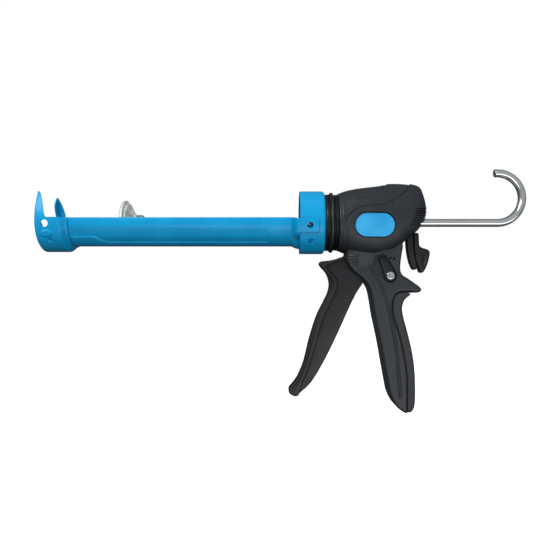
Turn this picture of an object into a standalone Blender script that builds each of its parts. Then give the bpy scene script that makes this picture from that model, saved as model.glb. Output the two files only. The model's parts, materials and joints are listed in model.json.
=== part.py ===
"""A dual-thrust caulking gun for large cartridges, as separate pieces with real joints.

Frame: +X runs back along the rod towards the hook, -Y is the gun's left side, +Z is up. The origin is the
centre of the pusher's front face. Every dimension in this file is in millimetres until it reaches a mesh.
"""

import math

import bmesh
import bpy
from mathutils import Matrix, Vector

MM = 0.001
GAP = 0.3

# Driving dimensions
CRADLE_R = 25.9          # outside radius of the half barrel, for 49 to 50 mm cartridges
SHEET = 1.2              # sheet steel thickness of the cradle parts
CRADLE_EDGE_Z = 3.5      # height of the half barrel's long edges above the rod
CAP_FRONT_X = -83.0
CAP_R = 32.0
CAP_REAR_X = -57.2
CAP_LIP_X = -46.0
HORN_TIP = (-80.5, 24.5, 31.0)
SIDE_HOLE = (-72.2, -3.3, 3.8)     # x, z and radius of the hole in each side of the cap
TAB_HOLE = (205.3, -5.8, 3.3)       # and of the hole through each tab of the cradle
RING_FRONT_X = 195.0
RING_REAR_X = 222.0
RING_R = 34.3
RING_HOLE_R = 20.0
ROD_R = 4.4
ROD_FRONT_X = 4.0
HOOK_X = 412.6
HOOK_R = 27.3
PUSHER_R = 24.3
HOUSING_FRONT_X = 236.2
HANDLE_HALF = 15.5       # half thickness of the handle
WEB_HALF = 3.5           # half thickness of the trigger's web
FLANGE_HALF = 9.0        # half width of the trigger's finger flange
TRIGGER_PIVOT = (274.5, -37.9)
BRAKE_PIVOT = (311.5, 14.5)
SELECTOR_PIVOT = (292.4, -57.9)
BADGE_CENTRE = (271.6, -4.6)
BADGE_SIZE = (43.5, 26.2)
BADGE_YAW = math.radians(4.6)
ROD_HOLE_R = 4.9
BUSH_BORE_R = 4.75

# Case screws on the right side: x, z and the y of the floor that each head sits on
CASE_SCREWS = {
    "case_screw_front_top": (250.0, 24.0, 20.0),
    "case_screw_front_low": (250.0, -24.0, 20.0),
    "case_screw_rear_top": (302.0, 28.0, 18.0),
    "case_screw_middle": (296.0, -32.0, 11.5),
    "case_screw_grip_top": (308.0, -67.0, 11.5),
    "case_screw_grip_low": (304.0, -190.0, 11.5),
}

for old in list(bpy.data.objects):
    bpy.data.objects.remove(old, do_unlink=True)

parts = bpy.data.collections.new("caulking_gun")
cutters = bpy.data.collections.new("cutters")
bpy.context.scene.collection.children.link(parts)
bpy.context.scene.collection.children.link(cutters)


# ---------------------------------------------------------------- materials

def to_linear(value):
    value = value / 255
    return value / 12.92 if value <= 0.04045 else ((value + 0.055) / 1.055) ** 2.4


def material(name, rgb, roughness, metallic=0.0):
    made = bpy.data.materials.new(name)
    made.use_nodes = True
    shader = made.node_tree.nodes["Principled BSDF"]
    shader.inputs["Base Color"].default_value = [to_linear(channel) for channel in rgb] + [1.0]
    shader.inputs["Roughness"].default_value = roughness
    shader.inputs["Metallic"].default_value = metallic
    return made


BLUE_PAINT = material("blue_paint", (13, 137, 189), 0.3)
BLACK_SHELL = material("black_shell", (50, 54, 60), 0.5)
BLACK_LEVER = material("black_lever", (24, 28, 32), 0.45)
SOFT_BLACK = material("soft_black", (46, 46, 50), 0.7)
BADGE_BLUE = material("badge_blue", (30, 151, 209), 0.35)
CHROME = material("chromed_steel", (190, 192, 190), 0.15, 1.0)
GREY_CASTING = material("grey_casting", (166, 168, 166), 0.45, 0.8)
BARE_STEEL = material("bare_steel", (150, 150, 148), 0.35, 1.0)
NYLON = material("nylon", (70, 70, 72), 0.5)
BLACK_RUBBER = material("black_rubber", (22, 22, 24), 0.6)


# ---------------------------------------------------------------- building blocks

def adopt(obj, finish, is_cutter=False):
    """Puts an object in its collection and gives it its material."""
    for owner in list(obj.users_collection):
        owner.objects.unlink(obj)
    if is_cutter:
        cutters.objects.link(obj)
        obj.hide_render = True
        obj.display_type = "WIRE"
        return obj
    parts.objects.link(obj)
    obj.data.materials.clear()
    obj.data.materials.append(finish)
    return obj


def from_bmesh(name, mesh_builder, finish, is_cutter=False):
    bmesh.ops.recalc_face_normals(mesh_builder, faces=mesh_builder.faces)
    mesh = bpy.data.meshes.new(name)
    mesh_builder.to_mesh(mesh)
    mesh_builder.free()
    obj = bpy.data.objects.new(name, mesh)
    bpy.context.scene.collection.objects.link(obj)
    return adopt(obj, finish, is_cutter)


def smooth(obj, angle=35):
    obj.data.shade_smooth()
    obj.data.set_sharp_from_angle(angle=math.radians(angle))
    return obj


def curve_to_mesh(obj, finish, is_cutter=False):
    """Replaces a curve object by its mesh, with its caps welded."""
    bpy.context.view_layer.update()
    evaluated = obj.evaluated_get(bpy.context.evaluated_depsgraph_get())
    mesh = bpy.data.meshes.new_from_object(evaluated)
    builder = bmesh.new()
    builder.from_mesh(mesh)
    bmesh.ops.remove_doubles(builder, verts=builder.verts, dist=0.00001)
    bmesh.ops.recalc_face_normals(builder, faces=builder.faces)
    builder.to_mesh(mesh)
    builder.free()
    name = obj.name
    place = obj.matrix_world.copy()
    bpy.data.objects.remove(obj, do_unlink=True)
    solid = bpy.data.objects.new(name, mesh)
    solid.matrix_world = place
    bpy.context.scene.collection.objects.link(solid)
    return adopt(solid, finish, is_cutter)


def prism(name, outline, low, high, finish, axis="Y", rounding=0.0, steps=4, is_cutter=False):
    """An outline of (u, v) points carried along Y (u, v = x, z) or along X (u, v = y, z).

    A point with a third value is a sharp corner; the others are joined by smooth curves.
    """
    curve = bpy.data.curves.new(name, "CURVE")
    curve.dimensions = "2D"
    curve.fill_mode = "BOTH"
    curve.resolution_u = steps
    curve.extrude = (high - low) / 2 * MM - rounding * MM
    curve.bevel_depth = rounding * MM
    curve.bevel_resolution = 1
    curve.offset = -rounding * MM
    spline = curve.splines.new("BEZIER")
    spline.bezier_points.add(len(outline) - 1)
    spline.use_cyclic_u = True
    for knot, point in zip(spline.bezier_points, outline):
        knot.co = (point[0] * MM, point[1] * MM, 0)
        style = "VECTOR" if len(point) > 2 else "AUTO"
        knot.handle_left_type = style
        knot.handle_right_type = style
    obj = bpy.data.objects.new(name, curve)
    middle = (low + high) / 2 * MM
    if axis == "Y":
        obj.rotation_euler = (math.pi / 2, 0, 0)
        obj.location.y = middle
    else:
        obj.rotation_euler = (math.pi / 2, 0, math.pi / 2)
        obj.location.x = middle
    bpy.context.scene.collection.objects.link(obj)
    return curve_to_mesh(obj, finish, is_cutter)


def turned(name, profile, finish, steps=40, is_cutter=False):
    """A closed profile of (x, radius) points turned about the rod's axis."""
    builder = bmesh.new()
    points = [builder.verts.new((radius * MM, 0, x * MM)) for x, radius in profile]
    for start, end in zip(points, points[1:] + points[:1]):
        if start.co.x > 0 or end.co.x > 0:
            builder.edges.new((start, end))
    mesh = bpy.data.meshes.new(name)
    builder.to_mesh(mesh)
    builder.free()
    obj = bpy.data.objects.new(name, mesh)
    obj.rotation_euler = (0, math.pi / 2, 0)
    bpy.context.scene.collection.objects.link(obj)
    screw = obj.modifiers.new("turn", "SCREW")
    screw.steps = steps
    screw.render_steps = steps
    screw.use_merge_vertices = True
    screw.merge_threshold = 0.00001
    return adopt(obj, finish, is_cutter)


def rod_along(name, start, end, radius, finish, sides=24, is_cutter=False):
    """A plain round bar or drill from one (x, y, z) point to another."""
    start = Vector(start) * MM
    end = Vector(end) * MM
    builder = bmesh.new()
    bmesh.ops.create_cone(
        builder, cap_ends=True, segments=sides, radius1=radius * MM, radius2=radius * MM,
        depth=(end - start).length,
    )
    turn = (end - start).to_track_quat("Z", "Y").to_matrix().to_4x4()
    bmesh.ops.transform(builder, matrix=Matrix.Translation((start + end) / 2) @ turn, verts=builder.verts)
    return from_bmesh(name, builder, finish, is_cutter)


def block(name, low, high, finish, is_cutter=False):
    low = Vector(low) * MM
    high = Vector(high) * MM
    builder = bmesh.new()
    bmesh.ops.create_cube(builder, size=1)
    bmesh.ops.scale(builder, vec=high - low, verts=builder.verts)
    bmesh.ops.translate(builder, vec=(low + high) / 2, verts=builder.verts)
    return from_bmesh(name, builder, finish, is_cutter)


def combine(obj, others, operation="DIFFERENCE", solver="EXACT"):
    """Adds one Boolean for each other solid."""
    for other in others:
        boolean = obj.modifiers.new(other.name, "BOOLEAN")
        boolean.operation = operation
        boolean.object = other
        boolean.solver = solver
    return obj


def sheet_grid(name, rows, finish, thickness, keep=lambda row, column: True):
    """Sheet metal: a grid of (x, y, z) points, thickened inwards from its outer face."""
    builder = bmesh.new()
    grid = [[builder.verts.new(Vector(point) * MM) for point in row] for row in rows]
    for i in range(len(grid) - 1):
        for j in range(len(grid[0]) - 1):
            if keep(i, j):
                builder.faces.new((grid[i][j], grid[i][j + 1], grid[i + 1][j + 1], grid[i + 1][j]))
    loose = [vert for vert in builder.verts if not vert.link_faces]
    bmesh.ops.delete(builder, geom=loose, context="VERTS")
    mesh = bpy.data.meshes.new(name)
    builder.to_mesh(mesh)
    builder.free()
    obj = bpy.data.objects.new(name, mesh)
    bpy.context.scene.collection.objects.link(obj)
    solidify = obj.modifiers.new("sheet", "SOLIDIFY")
    solidify.thickness = thickness * MM
    solidify.offset = -1
    solidify.use_even_offset = True
    return adopt(obj, finish)


def blend(value, low, high):
    """0 below low, 1 above high, and smooth between them."""
    t = min(1, max(0, (value - low) / (high - low)))
    return t * t * (3 - 2 * t)


def stadium(centre, half_length, radius, arc_points=5):
    """Corner points of a bar with round ends along its u direction."""
    points = []
    for side in (1, -1):
        for k in range(arc_points):
            angle = math.pi * (k / (arc_points - 1) - 0.5)
            u = side * (half_length - radius + radius * math.cos(angle))
            points.append((centre[0] + u, centre[1] + side * radius * math.sin(angle), True))
    return points


def empty_at(name, x, z):
    """A joint's axis, as an empty that its moving pieces are parented to."""
    marker = bpy.data.objects.new(name, None)
    marker.location = (x * MM, 0, z * MM)
    bpy.context.scene.collection.objects.link(marker)
    return marker


def hang_on(marker, *objects):
    bpy.context.view_layer.update()
    for obj in objects:
        obj.parent = marker
        obj.matrix_parent_inverse = marker.matrix_world.inverted()


# ---------------------------------------------------------------- barrel: cradle, cap and ring

def make_cradle():
    """Half barrel; its rear flares, and a tab on each side laps the outside of the ring."""
    edge = math.degrees(math.asin(CRADLE_EDGE_Z / CRADLE_R))
    tab_low = 21.0                           # the tabs reach this many degrees below the rod
    tab_r = RING_R + GAP + SHEET
    angles = [edge, 0.0, -10.0, -tab_low] + [-tab_low - 8.7 * k for k in range(1, 8)] + [-90.0]
    angles += [-180 - angle for angle in reversed(angles[:-1])]
    stations = [-56, 0, 80, 150, 185, 187.5, 190.5, 193, RING_FRONT_X - GAP, 204, 214]
    tab_column = stations.index(RING_FRONT_X - GAP)
    rows = []
    for angle in angles:
        below = min(-angle, 180 + angle)     # degrees below the horizontal, on either side
        side = 1 - blend(below, tab_low, 45)
        row = []
        for x in stations:
            flare = blend(x, 185, 193)
            radius = CRADLE_R + flare * (side * (tab_r - CRADLE_R) + (1 - side) * 2.6)
            drop = 5.5 * flare if below < 0 else 0
            turn = math.radians(angle - drop if angle > -90 else angle + drop)
            row.append((x, radius * math.cos(turn), radius * math.sin(turn)))
        rows.append(row)

    def keep(i, j):
        middle = (angles[i] + angles[i + 1]) / 2
        return j < tab_column or min(-middle, 180 + middle) < tab_low

    trough = sheet_grid("cradle_trough", rows, BLUE_PAINT, SHEET, keep)
    x, z, radius = TAB_HOLE
    drill = rod_along("tab_drill", (x, -60, z), (x, 60, z), radius, None, 20, True)
    combine(trough, [drill])
    return smooth(trough)


def make_cap():
    """Front cap: half wall with two horns, a nozzle slot in its plate and a step down to the cradle."""
    tip_x, tip_y, tip_z = HORN_TIP
    horn_centre_y = (CAP_R ** 2 - tip_y ** 2 - tip_z ** 2) / (2 * (CAP_R - tip_y))
    horn_r = CAP_R - horn_centre_y
    front = CAP_FRONT_X + 0.6
    horn_rear = -73.0
    wall = [front, -80, -77, horn_rear, -65, CAP_REAR_X]
    step = [(-54.2, 30.2), (-51.0, CRADLE_R + GAP + SHEET), (CAP_LIP_X, CRADLE_R + GAP + SHEET)]
    horn_faces = wall.index(horn_rear)       # a horn is only as wide as the front of the wall
    levels = (30.4, 27, 23, 18, 12.5, 7.5)
    half_rows = []
    for level in levels:
        y = horn_centre_y + math.sqrt(horn_r ** 2 - level ** 2)
        lean = (level / tip_z) ** 2.2
        rear = horn_rear + lean * (tip_x + 0.5 - horn_rear)
        start = front + lean * (tip_x - 0.6 - front)
        row = [(start + (rear - start) * k / horn_faces, y, level) for k in range(horn_faces + 1)]
        half_rows.append(row + [row[-1]] * (len(wall) + len(step) - len(row)))
    edge_turn = math.asin(CRADLE_EDGE_Z / CRADLE_R)
    for angle in [math.degrees(edge_turn)] + [-9.0 * k for k in range(0, 11)]:
        turn = math.radians(angle)
        row = [(x, CAP_R * math.cos(turn), CAP_R * math.sin(turn)) for x in wall]
        if angle > 0:
            row = [(x, math.sqrt(CAP_R ** 2 - CRADLE_EDGE_Z ** 2), CRADLE_EDGE_Z) for x in wall]
        row += [(x, r * math.cos(turn), r * math.sin(turn)) for x, r in step]
        half_rows.append(row)
    rows = half_rows + [[(x, -y, z) for x, y, z in row] for row in reversed(half_rows[:-1])]

    def keep(i, j):
        return j < horn_faces or len(levels) <= i < len(rows) - 1 - len(levels)

    cap = sheet_grid("front_cap", rows, BLUE_PAINT, SHEET, keep)

    slot_r = 12.0
    side = [(tip_y - 0.6, tip_z - 1.2, 1), (19.9, 22.4), (26.2, 9.0), (25.4, 1.5), (17.0, -0.5), (slot_r, -6.0)]
    bottom = [(slot_r * math.cos(math.radians(a)), -6 + slot_r * math.sin(math.radians(a)))
              for a in (-45, -90, -135)]
    outer_r = CAP_R - 0.3
    rim = [(outer_r * math.cos(math.radians(a)), outer_r * math.sin(math.radians(a)))
           for a in (180, 202.5, 225, 247.5, 270, 292.5, 315, 337.5, 360)]
    horn = [(horn_centre_y + math.sqrt((horn_r - 0.3) ** 2 - z ** 2), z) for z in (8, 16, 24)]
    outline = side + bottom + [(-p[0], *p[1:]) for p in reversed(side)]
    outline += [(-y, z) for y, z in reversed(horn)] + rim + horn
    plate = prism("cap_plate", outline, CAP_FRONT_X, CAP_FRONT_X + 1.6, None, "X", 0, 2, True)
    x, z, radius = SIDE_HOLE
    drill = rod_along("cap_drill", (x, -60, z), (x, 60, z), radius, None, 20, True)
    combine(cap, [plate], "UNION")
    combine(cap, [drill])
    return smooth(cap)


def make_ring():
    profile = [
        (RING_FRONT_X, RING_R), (RING_FRONT_X, RING_R - SHEET),
        (RING_REAR_X - 3.6, RING_R - SHEET), (RING_REAR_X - SHEET - 0.8, RING_R - 2.0),
        (RING_REAR_X - SHEET, RING_R - 3.6), (RING_REAR_X - SHEET, RING_HOLE_R),
        (RING_REAR_X, RING_HOLE_R), (RING_REAR_X, RING_R - 3.2),
        (RING_REAR_X - 0.9, RING_R - 0.9), (RING_REAR_X - 3.2, RING_R),
    ]
    ring = turned("collar_ring", profile, BLUE_PAINT, 40)
    drills = []
    for side in (-1, 1):
        low = math.radians(-39)
        reach = Vector((0, side * math.cos(low), math.sin(low)))
        middle = Vector((206.4, 0, 0))
        drills.append(rod_along(f"ring_drill_{side}", middle + reach * 22, middle + reach * 50, 2.4, None, 16, True))
        x, z, radius = TAB_HOLE
        drills.append(rod_along(f"lap_drill_{side}", (x, side * 20, z), (x, side * 50, z), radius, None, 20, True))
    combine(ring, drills)
    return smooth(ring)


# ---------------------------------------------------------------- swivel between barrel and housing

def make_swivel():
    hub = turned("swivel_hub", [
        (216.0, 8.0), (235.9, 8.0), (235.9, 30.4), (231.6, 30.4), (231.6, 28.3), (226.8, 28.3),
        (226.8, 31.0), (222.9, 31.0), (222.3, 30.0), (222.3, 19.6), (216.0, 19.6),
    ], BLACK_LEVER, 36)
    major, minor, section = 30.8, 2.1, 8
    circle = [(229.2 - minor * math.sin(2 * math.pi * k / section),
               major + minor * math.cos(2 * math.pi * k / section)) for k in range(section)]
    o_ring = turned("swivel_o_ring", circle, BLACK_RUBBER, 36)
    retainer = turned("collar_retainer", [
        (218.3, 19.9), (220.5, 19.9), (220.5, 27.0), (218.3, 27.0),
    ], BARE_STEEL, 36)
    front_bush = turned("front_bush", [
        (215.0, BUSH_BORE_R), (239.0, BUSH_BORE_R), (239.0, 7.7), (215.0, 7.7),
    ], NYLON, 24)
    rear_bush = turned("rear_bush", [
        (318.3, BUSH_BORE_R), (323.5, BUSH_BORE_R), (323.5, 6.6), (318.3, 6.6),
    ], NYLON, 24)
    return [smooth(piece) for piece in (hub, o_ring, retainer, front_bush, rear_bush)]


# ---------------------------------------------------------------- body shells

def housing_loft():
    """Rounded sections along the rod: x, top, bottom, half width and squareness of each."""
    sections = [
        (HOUSING_FRONT_X, 31.2, -30.8, 31.0, 2.0),
        (245.0, 34.4, -34.0, 30.6, 2.2),
        (257.0, 36.8, -37.0, 29.8, 2.5),
        (272.8, 38.7, -38.0, 28.8, 2.6),
        (286.0, 40.6, -36.0, 27.4, 2.6),
        (300.0, 41.6, -30.0, 25.4, 2.6),
        (311.0, 41.2, -19.5, 23.0, 2.6),
        (318.0, 40.5, -14.5, 21.0, 2.6),
        (324.0, 39.4, -8.5, 18.5, 2.6),
        (327.5, 36.5, -3.6, 16.0, 2.5),
        (330.5, 28.0, -0.5, 13.0, 2.3),
        (333.0, 19.0, 4.0, 8.0, 2.0),
    ]
    around = 32
    builder = bmesh.new()
    rings = []
    for x, top, bottom, half, square in sections:
        ring = []
        for k in range(around):
            a = 2 * math.pi * k / around
            c, s = math.cos(a), math.sin(a)
            y = half * math.copysign(abs(c) ** (2 / square), c)
            z = (top + bottom) / 2 + (top - bottom) / 2 * math.copysign(abs(s) ** (2 / square), s)
            ring.append(builder.verts.new((x * MM, y * MM, z * MM)))
        rings.append(ring)
    for near, far in zip(rings, rings[1:]):
        for k in range(around):
            n = (k + 1) % around
            builder.faces.new((near[k], near[n], far[n], far[k]))
    builder.faces.new(rings[0])
    builder.faces.new(reversed(rings[-1]))
    return from_bmesh("housing_form", builder, None, True)


def handle_outline():
    """Wing over the trigger, front edge, butt, and the back edge that the grip insert lies against."""
    return [
        (300, -12, 1), (252, -12, 1), (245.2, -33, 1), (245.8, -43), (253.3, -54), (264.5, -62.7),
        (270.5, -73), (275.4, -101), (281.2, -128), (286.2, -156), (291.5, -184), (300.3, -200.4),
        (310.8, -206.6, 1), (310.8, -170), (307.1, -141), (301.2, -117.4), (295.4, -98), (295.2, -86),
        (300.2, -76.6), (311, -75.6), (323, -76), (325.8, -72.5), (318, -65.6), (304.8, -56.2),
        (303.2, -50), (304.2, -40), (306.5, -22, 1),
    ]


def shell_cavities():
    """Everything hollowed out of the two shells, as cutters."""
    px, pz = TRIGGER_PIVOT
    sx, sz = SELECTOR_PIVOT
    pockets = [
        block("drive_chamber", (240.5, -12, -16), (281.5, 12, 17), None, True),
        block("brake_chamber", (285.5, -12, -9), (318, 12, 17), None, True),
        rod_along("rod_way_front", (230, 0, 0), (245, 0, 0), 8.0, None, 24, True),
        rod_along("rod_way_middle", (278, 0, 0), (290, 0, 0), 5.2, None, 24, True),
        rod_along("rod_way_rear", (316, 0, 0), (323.8, 0, 0), 6.9, None, 24, True),
        rod_along("rod_exit", (323, 0, 0), (340, 0, 0), 5.4, None, 24, True),
        rod_along("pivot_bore", (px, -9.3, pz), (px, 9.3, pz), 3.3, None, 20, True),
        rod_along("selector_bore", (sx, -30, sz), (sx, 0, sz), 3.3, None, 20, True),
    ]
    web = WEB_HALF + 0.7
    pockets.append(prism("trigger_slot", [
        (236, -40, 1), (243, -31.5, 1), (256.5, -30.5, 1), (257, -10, 1), (281, -10, 1), (285.5, -34, 1),
        (286.5, -45, 1), (283, -58, 1), (281, -75, 1), (280, -104, 1), (262, -104, 1), (236, -62, 1),
    ], -web, web, None, is_cutter=True))
    pockets.append(prism("release_slot", [
        (305.5, -2, 1), (305.5, -30, 1), (340, -30, 1), (340, -10.2, 1), (319, -10.2, 1), (318, -2, 1),
    ], -7.0, 7.0, None, is_cutter=True))
    pockets.append(prism("handle_hollow", [
        (284.5, -64, 1), (286.5, -100, 1), (289, -120, 1), (296, -160, 1), (299.5, -180, 1), (306, -180, 1),
        (302.5, -150, 1), (297, -122, 1), (291.5, -100, 1), (291.0, -84, 1), (297, -72, 1), (299, -64, 1),
        (299, -50, 1), (287.5, -50, 1),
    ], -7.0, 9.5, None, is_cutter=True))
    pockets.append(prism("selector_recess", [
        (295.5, -64.8), (299.4, -58.0), (290.5, -37.0, 1), (284.0, -34.8), (273.6, -38.6), (273.8, -48.0),
        (283.5, -60.5), (289.0, -65.0),
    ], -22.0, -10.0, None, is_cutter=True))
    for name, (x, z, floor) in CASE_SCREWS.items():
        pockets.append(rod_along(f"{name}_seat", (x, floor, z), (x, 40, z), 3.6, None, 16, True))
        pockets.append(rod_along(f"{name}_hole", (x, -9, z), (x, floor + 1, z), 1.8, None, 12, True))
    return pockets


def badge_solid(name, side, low, high, grow=0.0, finish=None, is_cutter=False):
    """A round-ended plate that follows the slope of the housing's side."""
    outline = stadium((0, 0), BADGE_SIZE[0] / 2 + grow, BADGE_SIZE[1] / 2 + grow, 9)
    solid = prism(name, outline, low, high, finish, is_cutter=is_cutter)
    lean = Matrix.Rotation(side * -BADGE_YAW, 4, "Z")
    place = Matrix.Translation(Vector((BADGE_CENTRE[0] * MM, 0, BADGE_CENTRE[1] * MM)))
    solid.matrix_world = place @ lean @ solid.matrix_world
    return solid


def make_shells():
    form = housing_loft()
    grip = prism("handle_form", handle_outline(), -HANDLE_HALF, HANDLE_HALF, None, rounding=4.5, steps=2,
                 is_cutter=True)
    pockets = shell_cavities()
    shells = []
    for name, side in (("body_shell_left", -1), ("body_shell_right", 1)):
        builder = bmesh.new()
        builder.from_mesh(form.data)
        shell = from_bmesh(name, builder, BLACK_SHELL)
        combine(shell, [grip], "UNION", "MANIFOLD")
        inner, outer = (25.4, 40.0) if side > 0 else (-40.0, -25.4)
        seat = badge_solid(f"badge_seat_{name}", side, inner, outer, 0.4, None, True)
        reach = (-0.15, 60.0) if side < 0 else (-60.0, 0.15)
        split = block(f"split_{name}", (200, reach[0], -240), (360, reach[1], 80), None, True)
        wanted = [cut for cut in pockets if not (cut.name == "selector_recess" and side > 0)]
        combine(shell, [*wanted, seat, split], solver="MANIFOLD")
        shells.append(smooth(shell))
    badges = [
        badge_solid("badge_left", -1, -28.2, -25.7, 0.0, BADGE_BLUE),
        badge_solid("badge_right", 1, 25.7, 28.2, 0.0, BADGE_BLUE),
    ]
    insert = prism("grip_insert", [
        (315.5, -79.0), (310.0, -82.3), (305.9, -91.0), (306.6, -100), (311.0, -117), (315.4, -134.5),
        (318.9, -156), (319.7, -176), (319.6, -195), (317.6, -202), (313.5, -206.0, 1), (311.2, -205.6, 1),
        (311.2, -170), (307.5, -141), (301.6, -117.4), (295.9, -98), (295.8, -86.4), (300.4, -77.4),
        (311, -76.1),
    ], -14.5, 14.5, SOFT_BLACK, rounding=4.5, steps=2)
    return shells + badges + [smooth(insert)]


# ---------------------------------------------------------------- small hardware

def make_screws():
    """Case screws, from the right: head on its seat and shank into the left shell."""
    made = []
    for name, (x, z, floor) in CASE_SCREWS.items():
        head = rod_along(name, (x, floor + GAP, z), (x, floor + 2.6, z), 3.2, BARE_STEEL, 16)
        shank = rod_along(f"{name}_shank", (x, -8.5, z), (x, floor + 1, z), 1.5, None, 12, True)
        combine(head, [shank], "UNION")
        made.append(smooth(head))
    return made


def helix(name, start_x, end_x, radius, wire_r, turns, finish):
    """A compression spring round the rod."""
    per_turn = 10
    count = int(turns * per_turn) + 1
    curve = bpy.data.curves.new(name, "CURVE")
    curve.dimensions = "3D"
    curve.bevel_depth = wire_r * MM
    curve.bevel_resolution = 1
    curve.use_fill_caps = True
    spline = curve.splines.new("POLY")
    spline.points.add(count - 1)
    for k, point in enumerate(spline.points):
        a = 2 * math.pi * k / per_turn
        x = start_x + wire_r + (end_x - start_x - 2 * wire_r) * k / (count - 1)
        point.co = (x * MM, radius * math.cos(a) * MM, radius * math.sin(a) * MM, 1)
    obj = bpy.data.objects.new(name, curve)
    bpy.context.scene.collection.objects.link(obj)
    return smooth(curve_to_mesh(obj, finish))


def make_inner_hardware():
    px, pz = TRIGGER_PIVOT
    pin = rod_along("trigger_pivot_pin", (px, -9, pz), (px, 9, pz), 3.0, BARE_STEEL, 20)
    washer = turned("spring_seat_washer", [(240.8, 8.3), (242.2, 8.3), (242.2, 11.5), (240.8, 11.5)],
                    BARE_STEEL, 24)
    return_spring = helix("return_spring", 242.5, 262.6, 9.2, 0.8, 4.5, BARE_STEEL)
    brake_spring = helix("brake_spring", 285.8, 307.8, 7.5, 0.7, 5.0, BARE_STEEL)
    return [smooth(pin), smooth(washer), return_spring, brake_spring]


# ---------------------------------------------------------------- trigger and drive

def make_trigger():
    px, pz = TRIGGER_PIVOT
    web = prism("trigger_lever", [
        (227.5, -49.0), (234.0, -42.0), (246.4, -34.6, 1), (258, -33.2), (266, -27), (269.6, -19.2, 1),
        (277.6, -19.2, 1), (281.0, -31), (282.4, -40), (278.5, -46), (272, -53), (264.5, -66),
        (256.3, -78.8), (234.3, -126.5), (221.1, -152.9), (207.5, -175), (195.0, -187.0),
        (189, -183), (203, -155), (214, -115), (227.0, -83), (231.5, -66),
    ], -WEB_HALF, WEB_HALF, BLACK_LEVER, steps=2)
    flange = prism("trigger_flange", [
        (216.4, -44.6), (219.0, -41.8), (229.9, -41.6), (240.0, -38.0, 1), (241.5, -40.2, 1), (233.5, -45.6),
        (232.6, -50.5), (236.3, -60.0), (236.0, -71.0), (229.5, -86.0), (220.6, -106.0), (213.3, -130.0),
        (207.0, -152.0), (199.5, -170.0), (193.0, -189.6), (185.2, -187.6), (182.8, -181.8), (191.4, -170.5),
        (199.1, -152.9), (205.7, -126.5), (213.4, -102.4), (223.3, -82.5), (227.6, -69.0), (226.4, -60.0),
        (221.0, -51.5),
    ], -FLANGE_HALF, FLANGE_HALF, None, rounding=2.2, steps=2, is_cutter=True)
    bore = rod_along("trigger_bore", (px, -20, pz), (px, 20, pz), 5.3, None, 20, True)
    combine(web, [flange], "UNION")
    combine(web, [bore])
    sleeve = rod_along("trigger_sleeve", (px, -3.3, pz), (px, 3.3, pz), 5.0, NYLON, 20)
    eye = rod_along("sleeve_eye", (px, -20, pz), (px, 20, pz), 3.3, None, 20, True)
    combine(sleeve, [eye])
    tip = prism("trigger_drive_tip", [
        (270.0, -18.9, 1), (269.9, -11.5, 1), (271.5, -9.5, 1), (275.5, -9.5, 1), (277.4, -18.9, 1),
    ], -3.4, 3.4, BARE_STEEL)
    hang_on(empty_at("trigger_axis", px, pz), web, sleeve, tip)
    return [smooth(web), smooth(sleeve), tip]


def friction_plate(name, low_x, high_x, bottom, top, half_width):
    """A flat plate that the rod passes through."""
    corner = 2.5
    outline = [
        (-half_width, bottom + corner, 1), (-half_width + corner, bottom, 1),
        (half_width - corner, bottom, 1), (half_width, bottom + corner, 1),
        (half_width, top - corner, 1), (half_width - corner, top, 1),
        (-half_width + corner, top, 1), (-half_width, top - corner, 1),
    ]
    plate = prism(name, outline, low_x, high_x, BARE_STEEL, "X")
    middle = (low_x + high_x) / 2
    hole = rod_along(f"{name}_hole", (middle - 10, 0, 0), (middle + 10, 0, 0), ROD_HOLE_R, None, 24, True)
    return combine(plate, [hole])


def make_drive():
    return [
        friction_plate("drive_plate_front", 263.0, 266.0, -14.5, 13.5, 9.0),
        friction_plate("drive_plate_rear", 266.3, 269.3, -14.5, 13.5, 9.0),
    ]


# ---------------------------------------------------------------- brake and its thumb lever

def make_release():
    bx, bz = BRAKE_PIVOT
    plate = friction_plate("brake_plate", 310.2, 312.6, -8.6, 13.0, 8.0)
    lever = prism("release_lever", [
        (311.5, -16.5), (314.5, -11.2, 1), (324.5, -11.2, 1), (325.0, -24.8, 1), (334.0, -28.2), (337.2, -31.2),
        (335.8, -41.0), (333.2, -50.5), (328.4, -55.3), (324.6, -51.6), (319.2, -51.8), (315.0, -43.0),
        (312.0, -30.0),
    ], -6.5, 6.5, BLACK_LEVER, rounding=1.2, steps=3)
    hang_on(empty_at("brake_axis", bx, bz), plate, lever)
    return [plate, smooth(lever)]


# ---------------------------------------------------------------- thrust selector

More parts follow.
